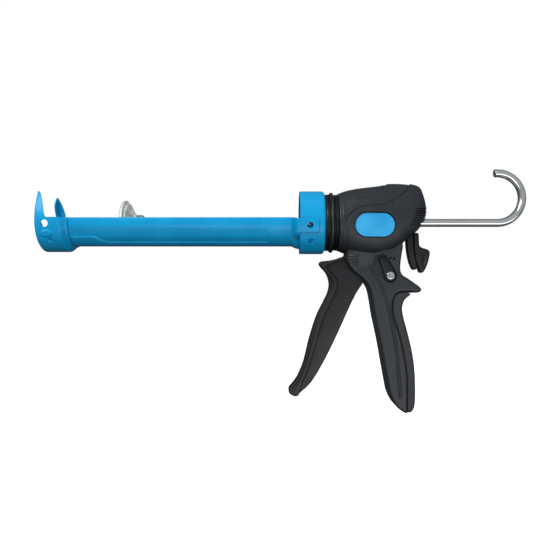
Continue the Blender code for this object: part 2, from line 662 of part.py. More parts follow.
def make_selector():
    sx, sz = SELECTOR_PIVOT
    top = Vector((283.7, -40.0))
    base = Vector((sx, sz))
    along = (top - base).normalized()
    across = Vector((along.y, -along.x))
    outline = []
    for k in range(9):
        a = math.radians(200 + 27.5 * k) + math.atan2(along.y, along.x) - math.pi / 2
        outline.append((base.x + 6.2 * math.cos(a), base.y + 6.2 * math.sin(a), 1))
    tip = [top + across * 3.2, top + across * 3.0 + along * 1.5, top - across * 3.0 + along * 1.5, top - across * 3.2]
    outline += [(point.x, point.y, 1) for point in tip]
    bar = prism("selector_bar", outline, -15.2, -10.3, BLACK_LEVER)
    seat = rod_along("selector_seat", (sx, -30, sz), (sx, -13.4, sz), 4.6, None, 20, True)
    shaft = rod_along("selector_shaft", (sx, -10.6, sz), (sx, -6.9, sz), 3.0, None, 20, True)
    combine(bar, [shaft], "UNION")
    combine(bar, [seat])
    screw = rod_along("selector_screw", (sx, -15.4, sz), (sx, -13.7, sz), 4.2, CHROME, 24)
    socket = rod_along("selector_socket", (sx, -20, sz), (sx, -14.6, sz), 2.0, None, 6, True)
    combine(screw, [socket])
    cam = prism("selector_cam", [
        (sx - 5.0, sz), (sx, sz + 5.0), (sx + 5.0, sz), (sx + 1.5, sz - 6.5), (sx - 4.0, sz - 4.5),
    ], -6.6, -4.6, BARE_STEEL)
    hang_on(empty_at("selector_axis", sx, sz), bar, screw, cam)
    return [smooth(bar), smooth(screw), smooth(cam)]


# ---------------------------------------------------------------- pusher and rod

def make_pusher():
    plate = turned("pusher_plate", [
        (0.0, 0.0), (3.0, 0.0), (3.0, 7.0), (17.4, 7.0), (17.4, 8.8), (14.8, 10.4), (12.6, 13.4),
        (10.4, 16.0), (8.4, 20.4), (6.2, 23.0), (4.6, PUSHER_R), (1.0, PUSHER_R), (0.0, PUSHER_R - 1.0),
    ], GREY_CASTING, 36)
    across = 8.8
    hexagon = [(across * math.cos(math.radians(60 * k)), across * math.sin(math.radians(60 * k)), 1)
               for k in range(6)]
    nut = prism("pusher_gland_nut", hexagon, 17.7, 24.0, BARE_STEEL, "X")
    sleeve = rod_along("gland_sleeve", (13.2, 0, 0), (20, 0, 0), 6.7, None, 24, True)
    eye = rod_along("gland_eye", (10, 0, 0), (30, 0, 0), BUSH_BORE_R, None, 24, True)
    combine(nut, [sleeve], "UNION")
    combine(nut, [eye])
    return [smooth(plate), smooth(nut)]


def make_rod():
    """The push rod, with its end turned up into a ladder hook."""
    curve = bpy.data.curves.new("rod", "CURVE")
    curve.dimensions = "3D"
    curve.bevel_depth = ROD_R * MM
    curve.bevel_resolution = 4
    curve.use_fill_caps = True
    points = [(ROD_FRONT_X, 0.0), (200.0, 0.0), (HOOK_X - 10, 0.0)]
    for k in range(17):
        a = math.radians(-90 + 187 * k / 16)
        points.append((HOOK_X + HOOK_R * math.cos(a), HOOK_R + HOOK_R * math.sin(a)))
    spline = curve.splines.new("POLY")
    spline.points.add(len(points) - 1)
    for knot, (x, z) in zip(spline.points, points):
        knot.co = (x * MM, 0, z * MM, 1)
    obj = bpy.data.objects.new("push_rod", curve)
    bpy.context.scene.collection.objects.link(obj)
    rod = smooth(curve_to_mesh(obj, CHROME), 50)
    nut = turned("rod_end_nut", [
        (5.0, BUSH_BORE_R), (12.7, BUSH_BORE_R), (12.7, 6.6), (5.0, 6.6),
    ], BARE_STEEL, 24)
    return [rod, smooth(nut)]


make_cradle()
make_cap()
make_ring()
make_swivel()
make_shells()
make_screws()
make_inner_hardware()
make_trigger()
make_drive()
make_release()
make_selector()
make_pusher()
make_rod()
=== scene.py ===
import json
import math

import bmesh
import bpy
import numpy as np
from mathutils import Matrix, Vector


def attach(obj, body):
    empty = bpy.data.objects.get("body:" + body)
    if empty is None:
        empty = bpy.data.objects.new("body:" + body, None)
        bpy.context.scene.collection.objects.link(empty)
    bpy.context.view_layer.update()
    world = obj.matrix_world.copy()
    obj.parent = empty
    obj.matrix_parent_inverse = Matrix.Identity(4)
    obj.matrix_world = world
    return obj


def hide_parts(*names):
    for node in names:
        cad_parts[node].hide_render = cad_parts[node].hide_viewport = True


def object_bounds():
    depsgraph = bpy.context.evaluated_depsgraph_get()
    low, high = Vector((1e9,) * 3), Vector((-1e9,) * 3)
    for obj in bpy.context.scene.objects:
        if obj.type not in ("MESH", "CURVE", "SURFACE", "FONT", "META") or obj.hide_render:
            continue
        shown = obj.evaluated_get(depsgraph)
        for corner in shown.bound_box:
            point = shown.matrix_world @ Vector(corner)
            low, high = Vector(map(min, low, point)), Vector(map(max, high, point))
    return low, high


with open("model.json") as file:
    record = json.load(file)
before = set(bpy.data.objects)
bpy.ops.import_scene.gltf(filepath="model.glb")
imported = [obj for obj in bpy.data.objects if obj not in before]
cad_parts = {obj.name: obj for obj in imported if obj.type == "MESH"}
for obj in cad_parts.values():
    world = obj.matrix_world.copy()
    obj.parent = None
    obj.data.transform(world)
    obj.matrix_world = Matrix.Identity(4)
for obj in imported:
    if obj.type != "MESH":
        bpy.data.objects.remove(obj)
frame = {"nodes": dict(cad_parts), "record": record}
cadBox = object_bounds()
mm = 0.001    # every size below is in millimetres, and turns to metres when a mesh is made
print("caulking gun: frame loaded,", len(frame["nodes"]), "nodes")


# camera, lights and floor

view = {"middle": 173.8, "eyeHeight": -62.7, "distance": 610.5, "width": 615.7, "sensor": 36.0}

# each light's place, what it aims at, its size and power, and which surfaces show it: matt, gloss or both
lights = {
    "keyLight": ((-420, -860, 640), (190, 0, -20), (700, 520), 9.0, "both"),
    "fillLight": ((900, -760, 160), (240, 0, -60), (600, 700), 1.7, "matt"),
    "topLight": ((180, -260, 940), (180, 0, 0), (1100, 500), 5.6, "matt"),
    "bounceLight": ((160, -640, -620), (180, 0, 0), (1100, 600), 3.5, "matt"),
    "chromeCard": ((560, -780, -420), (430, 0, 0), (1500, 460), 4.4, "gloss"),
}
# the brightness of the room in front and behind, and the share of it that comes from below and above
room = {"colour": "eef1f4", "front": 0.78, "behind": 0.17, "below": 0.4, "above": 1.0}
backdrop = {"below": 200.0, "reach": 9000.0, "tones": ("f8f8f8", "fcfcfc"), "rough": 0.9,
            "sun": 3.6, "spread": 40.0}


def hexColour(code):
    # sRGB hex to the linear colour that the shader wants
    part = np.array([int(code[i:i + 2], 16) for i in (0, 2, 4)]) / 255
    linear = np.where(part <= 0.04045, part / 12.92, ((part + 0.055) / 1.055) ** 2.4)
    return (*linear.tolist(), 1.0)


def addNode(tree, kind, settings=None, links=None):
    # one node: settings are its own properties or the values of its inputs, links say what feeds an input
    node = tree.nodes.new(kind)
    for key, value in (settings or {}).items():
        if isinstance(key, str) and hasattr(node, key):
            setattr(node, key, value)
        else:
            node.inputs[key].default_value = value
    for key, source in (links or {}).items():
        tree.links.new(source, node.inputs[key])
    return node


def addObject(name, data):
    # an object at the origin, unturned, in the scene
    thing = bpy.data.objects.new(name, data)
    bpy.context.scene.collection.objects.link(thing)
    return thing


def addMaterial(name):
    # a new material, its node tree and its shader
    material = bpy.data.materials.new(name)
    material.use_nodes = True
    return material, material.node_tree, material.node_tree.nodes["Principled BSDF"]


def aimAt(thing, place, aim):
    # turns -Z from place towards aim, with up staying up
    forward = np.array(aim, float) - np.array(place, float)
    forward /= np.linalg.norm(forward)
    flat = math.hypot(forward[0], forward[1])
    thing.location = [value * mm for value in place]
    heading = math.atan2(forward[1], forward[0]) - math.pi / 2
    thing.rotation_euler = (math.atan2(flat, -forward[2]), 0, heading)


def makeStudio():
    # the camera, the area lights, the room that surfaces see, and a far floor with its own light
    scene = bpy.context.scene
    camera = addObject("camera", bpy.data.cameras.new("camera"))
    place = (view["middle"], -view["distance"], view["eyeHeight"])
    aimAt(camera, place, (place[0], 0, place[2]))
    camera.data.sensor_width = view["sensor"]
    camera.data.lens = view["sensor"] * view["distance"] / view["width"]
    scene.camera = camera
    for name, (place, aim, size, power, seen) in lights.items():
        lamp = bpy.data.lights.new(name, "AREA")
        lamp.shape = "RECTANGLE"
        lamp.size, lamp.size_y = (side * mm for side in size)
        lamp.energy = power
        lampObject = addObject(name, lamp)
        lampObject.visible_diffuse = seen != "gloss"
        lampObject.visible_glossy = seen != "matt"
        aimAt(lampObject, place, aim)
    scene.view_settings.view_transform = "Standard"

    world = bpy.data.worlds.new("studio")
    scene.world = world
    world.use_nodes = True
    tree = world.node_tree
    tree.nodes.clear()
    # the camera sees plain white; every other ray sees a room that is bright in front and dark behind
    direction = addNode(tree, "ShaderNodeTexCoord")
    part = addNode(tree, "ShaderNodeSeparateXYZ", links={"Vector": direction.outputs["Generated"]})
    ahead = addNode(tree, "ShaderNodeMapRange", {
        "From Min": -0.9, "From Max": 0.7, "To Min": room["front"], "To Max": room["behind"]},
        {"Value": part.outputs["Y"]})
    above = addNode(tree, "ShaderNodeMapRange", {
        "From Min": -0.7, "From Max": 0.6, "To Min": room["below"], "To Max": room["above"]},
        {"Value": part.outputs["Z"]})
    level = addNode(tree, "ShaderNodeMath", {"operation": "MULTIPLY"},
                    {0: ahead.outputs["Result"], 1: above.outputs["Result"]})
    soft = addNode(tree, "ShaderNodeBackground", {"Color": hexColour(room["colour"])},
                   {"Strength": level.outputs[0]})
    plain = addNode(tree, "ShaderNodeBackground", {"Color": hexColour("ffffff"), "Strength": 1.0})
    ray = addNode(tree, "ShaderNodeLightPath")
    mix = addNode(tree, "ShaderNodeMixShader", links={0: ray.outputs["Is Camera Ray"], 1: soft.outputs[0],
                                                      2: plain.outputs[0]})
    addNode(tree, "ShaderNodeOutputWorld", links={"Surface": mix.outputs[0]})

    floorZ = cadBox[0].z - backdrop["below"] * mm
    reach = backdrop["reach"] * mm
    corners = [(x * reach, y * reach, floorZ) for x, y in ((-1, -1), (1, -1), (1, 1), (-1, 1))]
    mesh = bpy.data.meshes.new("floor")
    mesh.from_pydata(corners, [], [(0, 1, 2, 3)])
    floor = bpy.data.objects.new("floor", mesh)
    floorOnly = bpy.data.collections.new("floorOnly")
    scene.collection.children.link(floorOnly)
    floorOnly.objects.link(floor)
    floor.visible_glossy = False
    floor.visible_diffuse = False
    paper, tree, shader = addMaterial("white backdrop paper")    # matt, with the faint cloudiness of pulp
    shader.inputs["Roughness"].default_value = backdrop["rough"]
    cloud = addNode(tree, "ShaderNodeTexNoise", {"Scale": 6.0, "Detail": 3.0})
    tone = addNode(tree, "ShaderNodeValToRGB", links={"Fac": cloud.outputs["Fac"]})
    tone.color_ramp.elements[0].color = hexColour(backdrop["tones"][0])
    tone.color_ramp.elements[1].color = hexColour(backdrop["tones"][1])
    tree.links.new(tone.outputs["Color"], shader.inputs["Base Color"])
    floor.data.materials.append(paper)

    sun = bpy.data.lights.new("floorLight", "SUN")
    sun.energy = backdrop["sun"]
    sun.angle = math.radians(backdrop["spread"])
    sunObject = addObject("floorLight", sun)
    sunObject.light_linking.receiver_collection = floorOnly    # it lights the floor and not the object


makeStudio()
print("caulking gun: camera, lights and floor")


# finishes

# for each finish: two tones that drift into each other, the size of that drift, the grain of the surface
# and its depth, and how the gloss varies
finishes = {
    # polyester powder coat: saturated, glossy, with a faint orange peel about 2 mm across
    "powder coat": {"slot": "blue_paint", "tones": ("0489be", "0893c8"), "drift": 40.0, "grain": 2.0,
                    "depth": 0.012, "rough": (0.17, 0.27), "specular": 0.2},
    # glass-filled nylon from a spark-textured mould: charcoal, satin, its grain of 0.6 mm drawn at 0.8 mm
    # so that it shows
    "moulded nylon": {"slot": "shell_plastic", "tones": ("1a1e22", "202429"), "drift": 25.0, "grain": 0.8,
                      "depth": 0.02, "rough": (0.4, 0.54), "specular": 0.4},
    # acetal levers: blacker and smoother than the housing
    "acetal": {"slot": "lever_plastic", "tones": ("0d0f11", "121416"), "drift": 20.0, "grain": 0.9,
               "depth": 0.012, "rough": (0.34, 0.48), "specular": 0.34},
    # thermoplastic rubber overmould: matt, with a dusty sheen
    "soft grip rubber": {"slot": "grip_rubber", "tones": ("1d1e20", "242527"), "drift": 18.0, "grain": 0.9,
                         "depth": 0.03, "rough": (0.62, 0.75), "sheen": 0.12},
    # nitrile o-ring: deep black with a soft gloss
    "nitrile rubber": {"slot": "o_ring_rubber", "tones": ("101113", "17181a"), "drift": 9.0, "grain": 1.2,
                       "depth": 0.01, "rough": (0.4, 0.5)},
    # domed badge: flat blue ink under clear resin, so it is bright and glassy; its rim tone is painted
    # shade, a darker band round the badge's edge
    "resin badge": {"slot": "badge_plastic", "tones": ("2394cb", "3aa2d8"), "drift": 30.0, "grain": 6.0,
                    "depth": 0.01, "rough": (0.18, 0.26), "specular": 0.3, "rim": "06305f"},
    # bright chrome plate: mirror-like, with fine drawing lines along the bar
    "chrome plate": {"slot": "chromed_steel", "tones": ("c4c6c6", "d0d2d2"), "drift": 30.0, "grain": 0.5,
                     "depth": 0.006, "rough": (0.08, 0.18), "metal": 1.0, "along": 0.04},
    # zinc die casting: dull grey, cloudy, with a sandy skin
    "zinc casting": {"slot": "grey_casting", "tones": ("b6b8b6", "cccecc"), "drift": 7.0, "grain": 1.1,
                     "depth": 0.05, "rough": (0.42, 0.6), "metal": 0.35},
    # zinc-plated steel: cool, slightly blotchy
    "zinc-plated steel": {"slot": "bare_steel", "tones": ("9c9f9f", "b4b7b7"), "drift": 5.0, "grain": 0.7,
                          "depth": 0.01, "rough": (0.28, 0.42), "metal": 0.7},
    # natural nylon bush: waxy grey
    "nylon bush": {"slot": "nylon", "tones": ("3c3d3f", "464749"), "drift": 6.0, "grain": 0.9,
                   "depth": 0.01, "rough": (0.4, 0.5)},
}


def makeFinish(name, look):
    # two tones drift into each other in clouds, the gloss drifts with them, and a fine grain stands up
    material, tree, shader = addMaterial(name)
    shader.inputs["Metallic"].default_value = look.get("metal", 0.0)
    shader.inputs["Specular IOR Level"].default_value = look.get("specular", 0.5)
    shader.inputs["Sheen Weight"].default_value = look.get("sheen", 0.0)
    place = addNode(tree, "ShaderNodeTexCoord")
    stretch = (look.get("along", 1.0), 1.0, 1.0)
    lay = addNode(tree, "ShaderNodeMapping", {"Scale": stretch}, {"Vector": place.outputs["Object"]})
    drift = addNode(tree, "ShaderNodeTexNoise", {"Scale": 1 / (look["drift"] * mm), "Detail": 4.0},
                    {"Vector": place.outputs["Object"]})
    tone = addNode(tree, "ShaderNodeValToRGB", links={"Fac": drift.outputs["Fac"]})
    tone.color_ramp.elements[0].position = 0.35
    tone.color_ramp.elements[1].position = 0.65
    tone.color_ramp.elements[0].color = hexColour(look["tones"][0])
    tone.color_ramp.elements[1].color = hexColour(look["tones"][1])
    colour = tone.outputs["Color"]
    if "rim" in look:    # painted shade: a darker band round the edge, where the piece's own rim attribute is 1
        edge = addNode(tree, "ShaderNodeAttribute", {"attribute_name": "rim"})
        paintedEdgeShade = addNode(tree, "ShaderNodeMix", {"data_type": "RGBA", 7: hexColour(look["rim"])},
                      {0: edge.outputs["Fac"], 6: colour})
        colour = paintedEdgeShade.outputs[2]
    tree.links.new(colour, shader.inputs["Base Color"])
    grain = addNode(tree, "ShaderNodeTexNoise", {"Scale": 1 / (look["grain"] * mm), "Detail": 3.0},
                    {"Vector": lay.outputs["Vector"]})
    gloss = addNode(tree, "ShaderNodeMapRange", {
        "From Min": 0.3, "From Max": 0.7, "To Min": look["rough"][0], "To Max": look["rough"][1]},
        {"Value": drift.outputs["Fac"]})
    tree.links.new(gloss.outputs["Result"], shader.inputs["Roughness"])
    bump = addNode(tree, "ShaderNodeBump", {"Strength": 0.5, "Distance": look["depth"] * mm},
                   {"Height": grain.outputs["Fac"]})
    tree.links.new(bump.outputs["Normal"], shader.inputs["Normal"])
    return material


paints = {look["slot"]: makeFinish(name, look) for name, look in finishes.items()}
for entry in frame["record"]["subparts"]:
    frame["nodes"][entry["node"]].data.materials.clear()
    frame["nodes"][entry["node"]].data.materials.append(paints[entry["material_slot"]])
print("caulking gun:", len(paints), "finishes")


# shape helpers

def fullTurn(count):
    # angles at equal steps round a circle
    return np.linspace(0, 2 * np.pi, count, endpoint=False)


def travelled(points):
    # the length of a path up to each of its points
    return np.concatenate([[0], np.cumsum(np.linalg.norm(np.diff(points, axis=0), axis=1))])


def disc(x, z, radius, count):
    # a circle of (x, z) points
    a = fullTurn(count)
    return np.stack([x + radius * np.cos(a), z + radius * np.sin(a)], axis=1)


def smoothCurve(points, count, closed=False):
    # a cubic between each two points, leaving them along the line between their neighbours, read at equal
    # steps of its length; points may have any number of columns
    point = np.asarray(points, float)
    if closed:
        point = np.vstack([point[-1:], point, point[:2]])
    else:
        point = np.vstack([2 * point[0] - point[1], point, 2 * point[-1] - point[-2]])
    gap = np.linalg.norm(np.diff(point, axis=0), axis=1)
    slope = (point[2:] - point[:-2]) / (gap[1:] + gap[:-1])[:, None]
    start, end, step = point[1:-2], point[2:-1], gap[1:-1][:, None, None]
    t = np.linspace(0, 1, 20, endpoint=False)[None, :, None]
    fine = ((2 * t**3 - 3 * t**2 + 1) * start[:, None] + (3 * t**2 - 2 * t**3) * end[:, None]
            + (t**3 - 2 * t**2 + t) * step * slope[:-1, None] + (t**3 - t**2) * step * slope[1:, None])
    fine = np.vstack([fine.reshape(-1, point.shape[1]), end[-1:]])
    along = travelled(fine)
    reads = np.linspace(0, along[-1], count, endpoint=not closed)
    return np.stack([np.interp(reads, along, column) for column in fine.T], axis=1)


def roundCorners(points, steps=6):
    # each corner (u, v, cut) gives way to a curve that starts and ends cut away from it
    corner = np.array([(*point, 0.0)[:3] for point in points], float)
    here, cut = corner[:, :2], corner[:, 2:]
    before, after = np.roll(here, 1, axis=0) - here, np.roll(here, -1, axis=0) - here
    start = here + before / np.linalg.norm(before, axis=1)[:, None] * cut
    end = here + after / np.linalg.norm(after, axis=1)[:, None] * cut
    t = np.linspace(0, 1, steps)[None, :, None]
    arcs = (1 - t)**2 * start[:, None] + 2 * t * (1 - t) * here[:, None] + t**2 * end[:, None]
    return arcs.reshape(-1, 2)


def tuck(distance, radius):
    # how far an edge rounded by radius has fallen back at that distance from the edge
    radius = np.maximum(radius, 1e-6)
    near = np.clip(distance, 0, radius)
    return radius - np.sqrt(np.maximum(radius**2 - (radius - near)**2, 0))


def ease(value, low, high):
    # 0 up to low, 1 from high, smooth between
    t = np.clip((value - low) / (high - low), 0, 1)
    return t * t * (3 - 2 * t)


def bump(value, middle, width):
    # a bell of height 1
    return np.exp(-((value - middle) / width)**2)


def offCurve(curve, x, z):
    # distance of each (x, z) from a curve of (x, z) points, and its side: 1 to the left of its travel
    curve = np.asarray(curve, float)
    start, run = curve[:-1], np.diff(curve, axis=0)
    flat = np.stack([x.ravel(), z.ravel()], axis=1)
    best = np.full(len(flat), 1e9)
    side = np.ones(len(flat))
    for (sx, sz), (rx, rz) in zip(start, run):
        dx, dz = flat[:, 0] - sx, flat[:, 1] - sz
        t = np.clip((dx * rx + dz * rz) / (rx * rx + rz * rz), 0, 1)
        gap = np.hypot(dx - t * rx, dz - t * rz)
        nearer = gap < best
        best = np.where(nearer, gap, best)
        side = np.where(nearer, np.sign(rx * dz - rz * dx), side)
    return best.reshape(x.shape), side.reshape(x.shape)


def quads(rows, columns, roundRows=False, roundColumns=False, keep=None):
    # a face between each two neighbouring rows and columns of a grid of points
    i, j = np.meshgrid(np.arange(rows if roundRows else rows - 1),
                       np.arange(columns if roundColumns else columns - 1), indexing="ij")
    if keep is not None:
        i, j = i[keep[:i.shape[0], :i.shape[1]]], j[keep[:i.shape[0], :i.shape[1]]]
    i, j = i.ravel(), j.ravel()
    n, m = (i + 1) % rows, (j + 1) % columns
    return np.stack([i * columns + j, i * columns + m, n * columns + m, n * columns + j], axis=1)


def newPiece(name, points, faces, turnOut=True):
    # a mesh object from points in mm; seams and poles are merged, and a closed shape is turned the right
    # way out
    mesh = bpy.data.meshes.new(name)
    mesh.from_pydata((np.asarray(points).reshape(-1, 3) * mm).tolist(), [], faces)
    build = bmesh.new()
    build.from_mesh(mesh)
    bmesh.ops.remove_doubles(build, verts=build.verts, dist=0.004 * mm)
    bmesh.ops.dissolve_degenerate(build, edges=build.edges, dist=0.002 * mm)
    loose = [point for point in build.verts if not point.link_faces]
    bmesh.ops.delete(build, geom=loose, context="VERTS")
    if turnOut:
        bmesh.ops.recalc_face_normals(build, faces=build.faces)
    build.to_mesh(mesh)
    build.free()
    return addObject(name, mesh)


def tubeFrom(name, grid, closed=False):
    # rows of points that each go round: joined row to row, and capped unless the last row meets the first
    rows, columns = grid.shape[:2]
    faces = quads(rows, columns, closed, True).tolist()
    if not closed:
        faces += [list(range(columns))[::-1], list(range((rows - 1) * columns, rows * columns))]
    return newPiece(name, grid, faces)


def turned(name, profile, sides, lift=None):
    # an outline of (x, radius) carried round the rod's axis; lift(x, radius, angle) adds to the radius
    x, radius = np.asarray(profile, float)[:, :2].T
    x, radius, angle = np.broadcast_arrays(x[:, None], radius[:, None], fullTurn(sides)[None])
    if lift is not None:
        radius = radius + lift(x, radius, angle)
    grid = np.stack([x, radius * np.cos(angle), radius * np.sin(angle)], axis=-1)
    return tubeFrom(name, grid, closed=True)


def plateForm(name, outline, low, high, rounding=0.0, steps=5):
    # an outline of (x, z) carried across y from low to high, its rim drawn in by rounding at both faces
    outline = np.asarray(outline, float)[:, :2]
    gap = np.linalg.norm(outline - np.roll(outline, 1, axis=0), axis=1)
    outline = outline[gap > 1e-4]
    run = np.roll(outline, -1, axis=0) - np.roll(outline, 1, axis=0)
    run /= np.linalg.norm(run, axis=1)[:, None]
    x, z = outline.T
    twiceArea = np.sum(x * np.roll(z, -1) - np.roll(x, -1) * z)
    inward = np.stack([-run[:, 1], run[:, 0]], axis=1) * np.sign(twiceArea)
    a = np.linspace(0, np.pi / 2, steps if rounding else 1)
    inset = np.concatenate([rounding * (1 - np.sin(a)), rounding * (1 - np.sin(a[::-1]))])
    across = np.concatenate([low + rounding * (1 - np.cos(a)), high - rounding * (1 - np.cos(a[::-1]))])
    if not rounding:
        inset, across = np.zeros(2), np.array([low, high])
    flat = outline[None] + inward[None] * inset[:, None, None]
    y = np.broadcast_to(across[:, None], flat.shape[:2])
    return tubeFrom(name, np.stack([flat[..., 0], y, flat[..., 1]], axis=-1))


def paddle(name, pairs, half, frontEdge, backEdge, rows, columns, endRound, relief=None):
    # each row runs from a point of the front edge to its partner on the back edge, u from 0 to 1; the faces
    # stand half away from the middle plane, fall back round both edges and the end, and relief(x, z, u) is
    # taken off them
    edge = smoothCurve(pairs, rows)
    front, back = edge[:, :2], edge[:, 2:]
    even = np.linspace(0, 1, columns)
    u = 0.55 * even + 0.45 * (1 - np.cos(np.pi * even)) / 2
    x = front[:, :1] + (back[:, :1] - front[:, :1]) * u
    z = front[:, 1:] + (back[:, 1:] - front[:, 1:]) * u
    width = np.linalg.norm(back - front, axis=1)[:, None] / 2
    height = half - tuck(offCurve(front, x, z)[0], np.minimum(frontEdge, width))
    height = height - tuck(offCurve(back, x, z)[0], np.minimum(backEdge, width))
    along = travelled((front + back) / 2)
    height = height - tuck((along[-1] - along)[:, None], endRound)
    if relief is not None:
        height = height - relief(x, z, u)
    left = np.stack([x, -height, z], axis=-1)
    right = np.stack([x, height, z], axis=-1)[:, ::-1]
    return tubeFrom(name, np.concatenate([left, right], axis=1))


def bar(name, start, end, radius, sides=32):
    # a round bar or drill between two (x, y, z) points
    start, end = np.asarray(start, float), np.asarray(end, float)
    run = (end - start) / np.linalg.norm(end - start)
    across = np.cross(run, (0, 0, 1) if abs(run[2]) < 0.9 else (1, 0, 0))
    across /= np.linalg.norm(across)
    a = fullTurn(sides)[:, None]
    rim = radius * (np.cos(a) * across + np.sin(a) * np.cross(run, across))
    return tubeFrom(name, np.stack([start + rim, end + rim]))


def sideBar(name, x, z, low, high, radius, sides=32):
    # a bar across the gun, from y = low to y = high
    return bar(name, (x, low, z), (x, high, z), radius, sides)


def rodBar(name, front, rear, radius, sides=32):
    # a bar round the rod's axis
    return bar(name, (front, 0, 0), (rear, 0, 0), radius, sides)


def boxForm(name, low, high):
    # a block between two corners (x, y, z)
    (x0, y0, z0), (x1, y1, z1) = low, high
    return plateForm(name, [(x0, z0), (x1, z0), (x1, z1), (x0, z1)], y0, y1)


def settle(piece):
    # the piece's modifiers become its mesh
    bpy.context.view_layer.update()
    mesh = bpy.data.meshes.new_from_object(piece.evaluated_get(bpy.context.evaluated_depsgraph_get()))
    piece.modifiers.clear()
    piece.data = mesh
    return piece


def carve(piece, cutters, operation="DIFFERENCE", keepCutters=False):
    # Booleans of closed shapes, one after another
    for cutter in cutters:
        step = piece.modifiers.new(cutter.name, "BOOLEAN")
        step.operation = operation
        step.object = cutter
        step.solver = "MANIFOLD"
    settle(piece)
    if not keepCutters:
        for cutter in cutters:
            bpy.data.objects.remove(cutter)
    return piece


def thicken(piece, thickness):
    # sheet metal: the drawn surface is its outer face
    step = piece.modifiers.new("sheet", "SOLIDIFY")
    step.thickness = thickness * mm
    step.offset = -1
    return settle(piece)


def soften(piece, width):
    # edges sharper than 40 degrees are broken by a small radius, so that they catch the light
    step = piece.modifiers.new("edges", "BEVEL")
    step.width = width * mm
    step.segments = 2
    step.limit_method = "ANGLE"
    step.angle_limit = math.radians(40)
    return settle(piece)


def fit(piece, slotName, body, node, angle=30.0):
    # paints a piece, shades it, and hands it to the body that it moves with
    piece.data.materials.clear()
    piece.data.materials.append(paints[slotName])
    piece.data.shade_smooth()
    piece.data.set_sharp_from_angle(angle=math.radians(angle))
    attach(piece, body)
    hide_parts(node)


# barrel: half barrel, front cap and collar ring

cradle = {"radius": 25.9, "sheet": 1.2, "edgeHeight": 3.5, "front": -56.0, "rear": 214.0, "collar": 194.7,
          "tabReach": 21.0, "tabRadius": 35.8, "tabTurn": 5.5, "tabHole": (205.3, -5.8, 3.3),
          "flare": (185.0, 192.5), "bottomGrow": 2.6, "edgeRound": 0.3}
pressing = {"start": -51.0, "end": 163.0, "top": -5.2, "fade": 10.0, "bottom": -22.4, "depth": 0.9,
            "rise": 5.5, "riseEnds": (-27.0, -11.0), "bead": 0.2}


def makeCradle():
    # a half circle swept along the rod, radius(angle, x): flared at the rear, with a flat pressed into
    # each side; the steps are close where the shape turns quickly
    edge = math.degrees(math.asin(cradle["edgeHeight"] / cradle["radius"]))
    reach = cradle["tabReach"]
    near = np.concatenate([np.linspace(edge, -reach, 28, endpoint=False), np.linspace(-reach, -90, 104)])
    angle = np.concatenate([near, -180 - near[-2::-1]])[:, None]
    x = np.concatenate([
        np.linspace(cradle["front"], 0, 46, endpoint=False),
        np.linspace(0, 150, 14, endpoint=False),
        np.linspace(150, cradle["flare"][0], 22, endpoint=False),
        np.linspace(cradle["flare"][0], cradle["collar"], 26),
        np.linspace(cradle["collar"], cradle["rear"], 16)[1:]])[None]
    below = np.minimum(-angle, 180 + angle)
    side = 1 - ease(below, reach, 45)
    flare = ease(x, *cradle["flare"])
    grow = side * (cradle["tabRadius"] - cradle["radius"]) + (1 - side) * cradle["bottomGrow"]
    radius = cradle["radius"] + flare * grow
    height = radius * np.sin(np.radians(angle))
    # the pressing's lower crease runs higher at the front; its top fades out, under a fine bead
    start, end, top = pressing["start"], pressing["end"], pressing["top"]
    low = pressing["bottom"] + pressing["rise"] * (1 - ease(x, *pressing["riseEnds"]))
    flat = ease(height, low - 0.5, low + 0.7) * (1 - ease(height, top - pressing["fade"], top))
    along = ease(x, start, start + 3) * (1 - ease(x, end - 3, end))
    bead = bump(height, top, 0.55) * ease(x, -24.0, -18.0) * (1 - ease(x, 8.0, 24.0))
    radius = radius - pressing["depth"] * flat * along + pressing["bead"] * bead
    turn = np.radians(angle + np.where(angle > -90, -1, 1) * cradle["tabTurn"] * flare * (below < 0))
    grid = np.stack(np.broadcast_arrays(x, radius * np.cos(turn), radius * np.sin(turn)), axis=-1)
    middle = (angle[:-1, 0] + angle[1:, 0]) / 2
    isTab = np.minimum(-middle, 180 + middle) < reach
    # behind the collar only the tabs go on
    keep = (x[0, 1:] <= cradle["collar"] + 0.01)[None] | isTab[:, None]
    trough = newPiece("halfBarrel", grid, quads(*grid.shape[:2], keep=keep).tolist(), turnOut=False)
    thicken(trough, cradle["sheet"])
    x, z, radius = cradle["tabHole"]
    carve(trough, [sideBar("tabDrill", x, z, -60, 60, radius)])
    soften(trough, cradle["edgeRound"])
    fit(trough, "blue_paint", "barrel", "cradle_trough")


# each point (y, z) of the nozzle's opening has a partner height on the outer edge; the boss and the dimple
# have x, degrees round the wall, half width, half reach in degrees, where the flat top ends, and height
cap = {"front": -83.0, "radius": 32.0, "rear": -57.2, "lip": -50.2, "lipRadius": 27.4, "sheet": 1.3,
       "tip": (-80.6, 24.5, 31.0), "hornRear": -73.0, "corner": 1.8, "fillet": 2.2, "wallTop": 3.5,
       "hole": (-72.2, -3.3, 3.8), "boss": (-71.5, -25.5, 6.6, 7.6, 0.76, 1.3),
       "dimple": (-68.6, -41.0, 3.2, 4.6, 0.3, -1.9),
       "opening": [(24.0, 30.6), (22.1, 27.2), (19.9, 22.6), (21.9, 16.2), (25.6, 10.0), (26.6, 4.6),
                   (25.0, 1.2), (20.3, -0.3), (16.0, -1.2), (12.7, -4.2), (11.8, -9.0), (7.9, -15.2),
                   (3.6, -17.6), (0.0, -18.0)],
       "partner": [31.0, 27.2, 22.6, 16.2, 9.6, 4.2, -2.0, -8.5, -14.5, -20.5, -25.0, -29.0, -31.3, -32.0]}


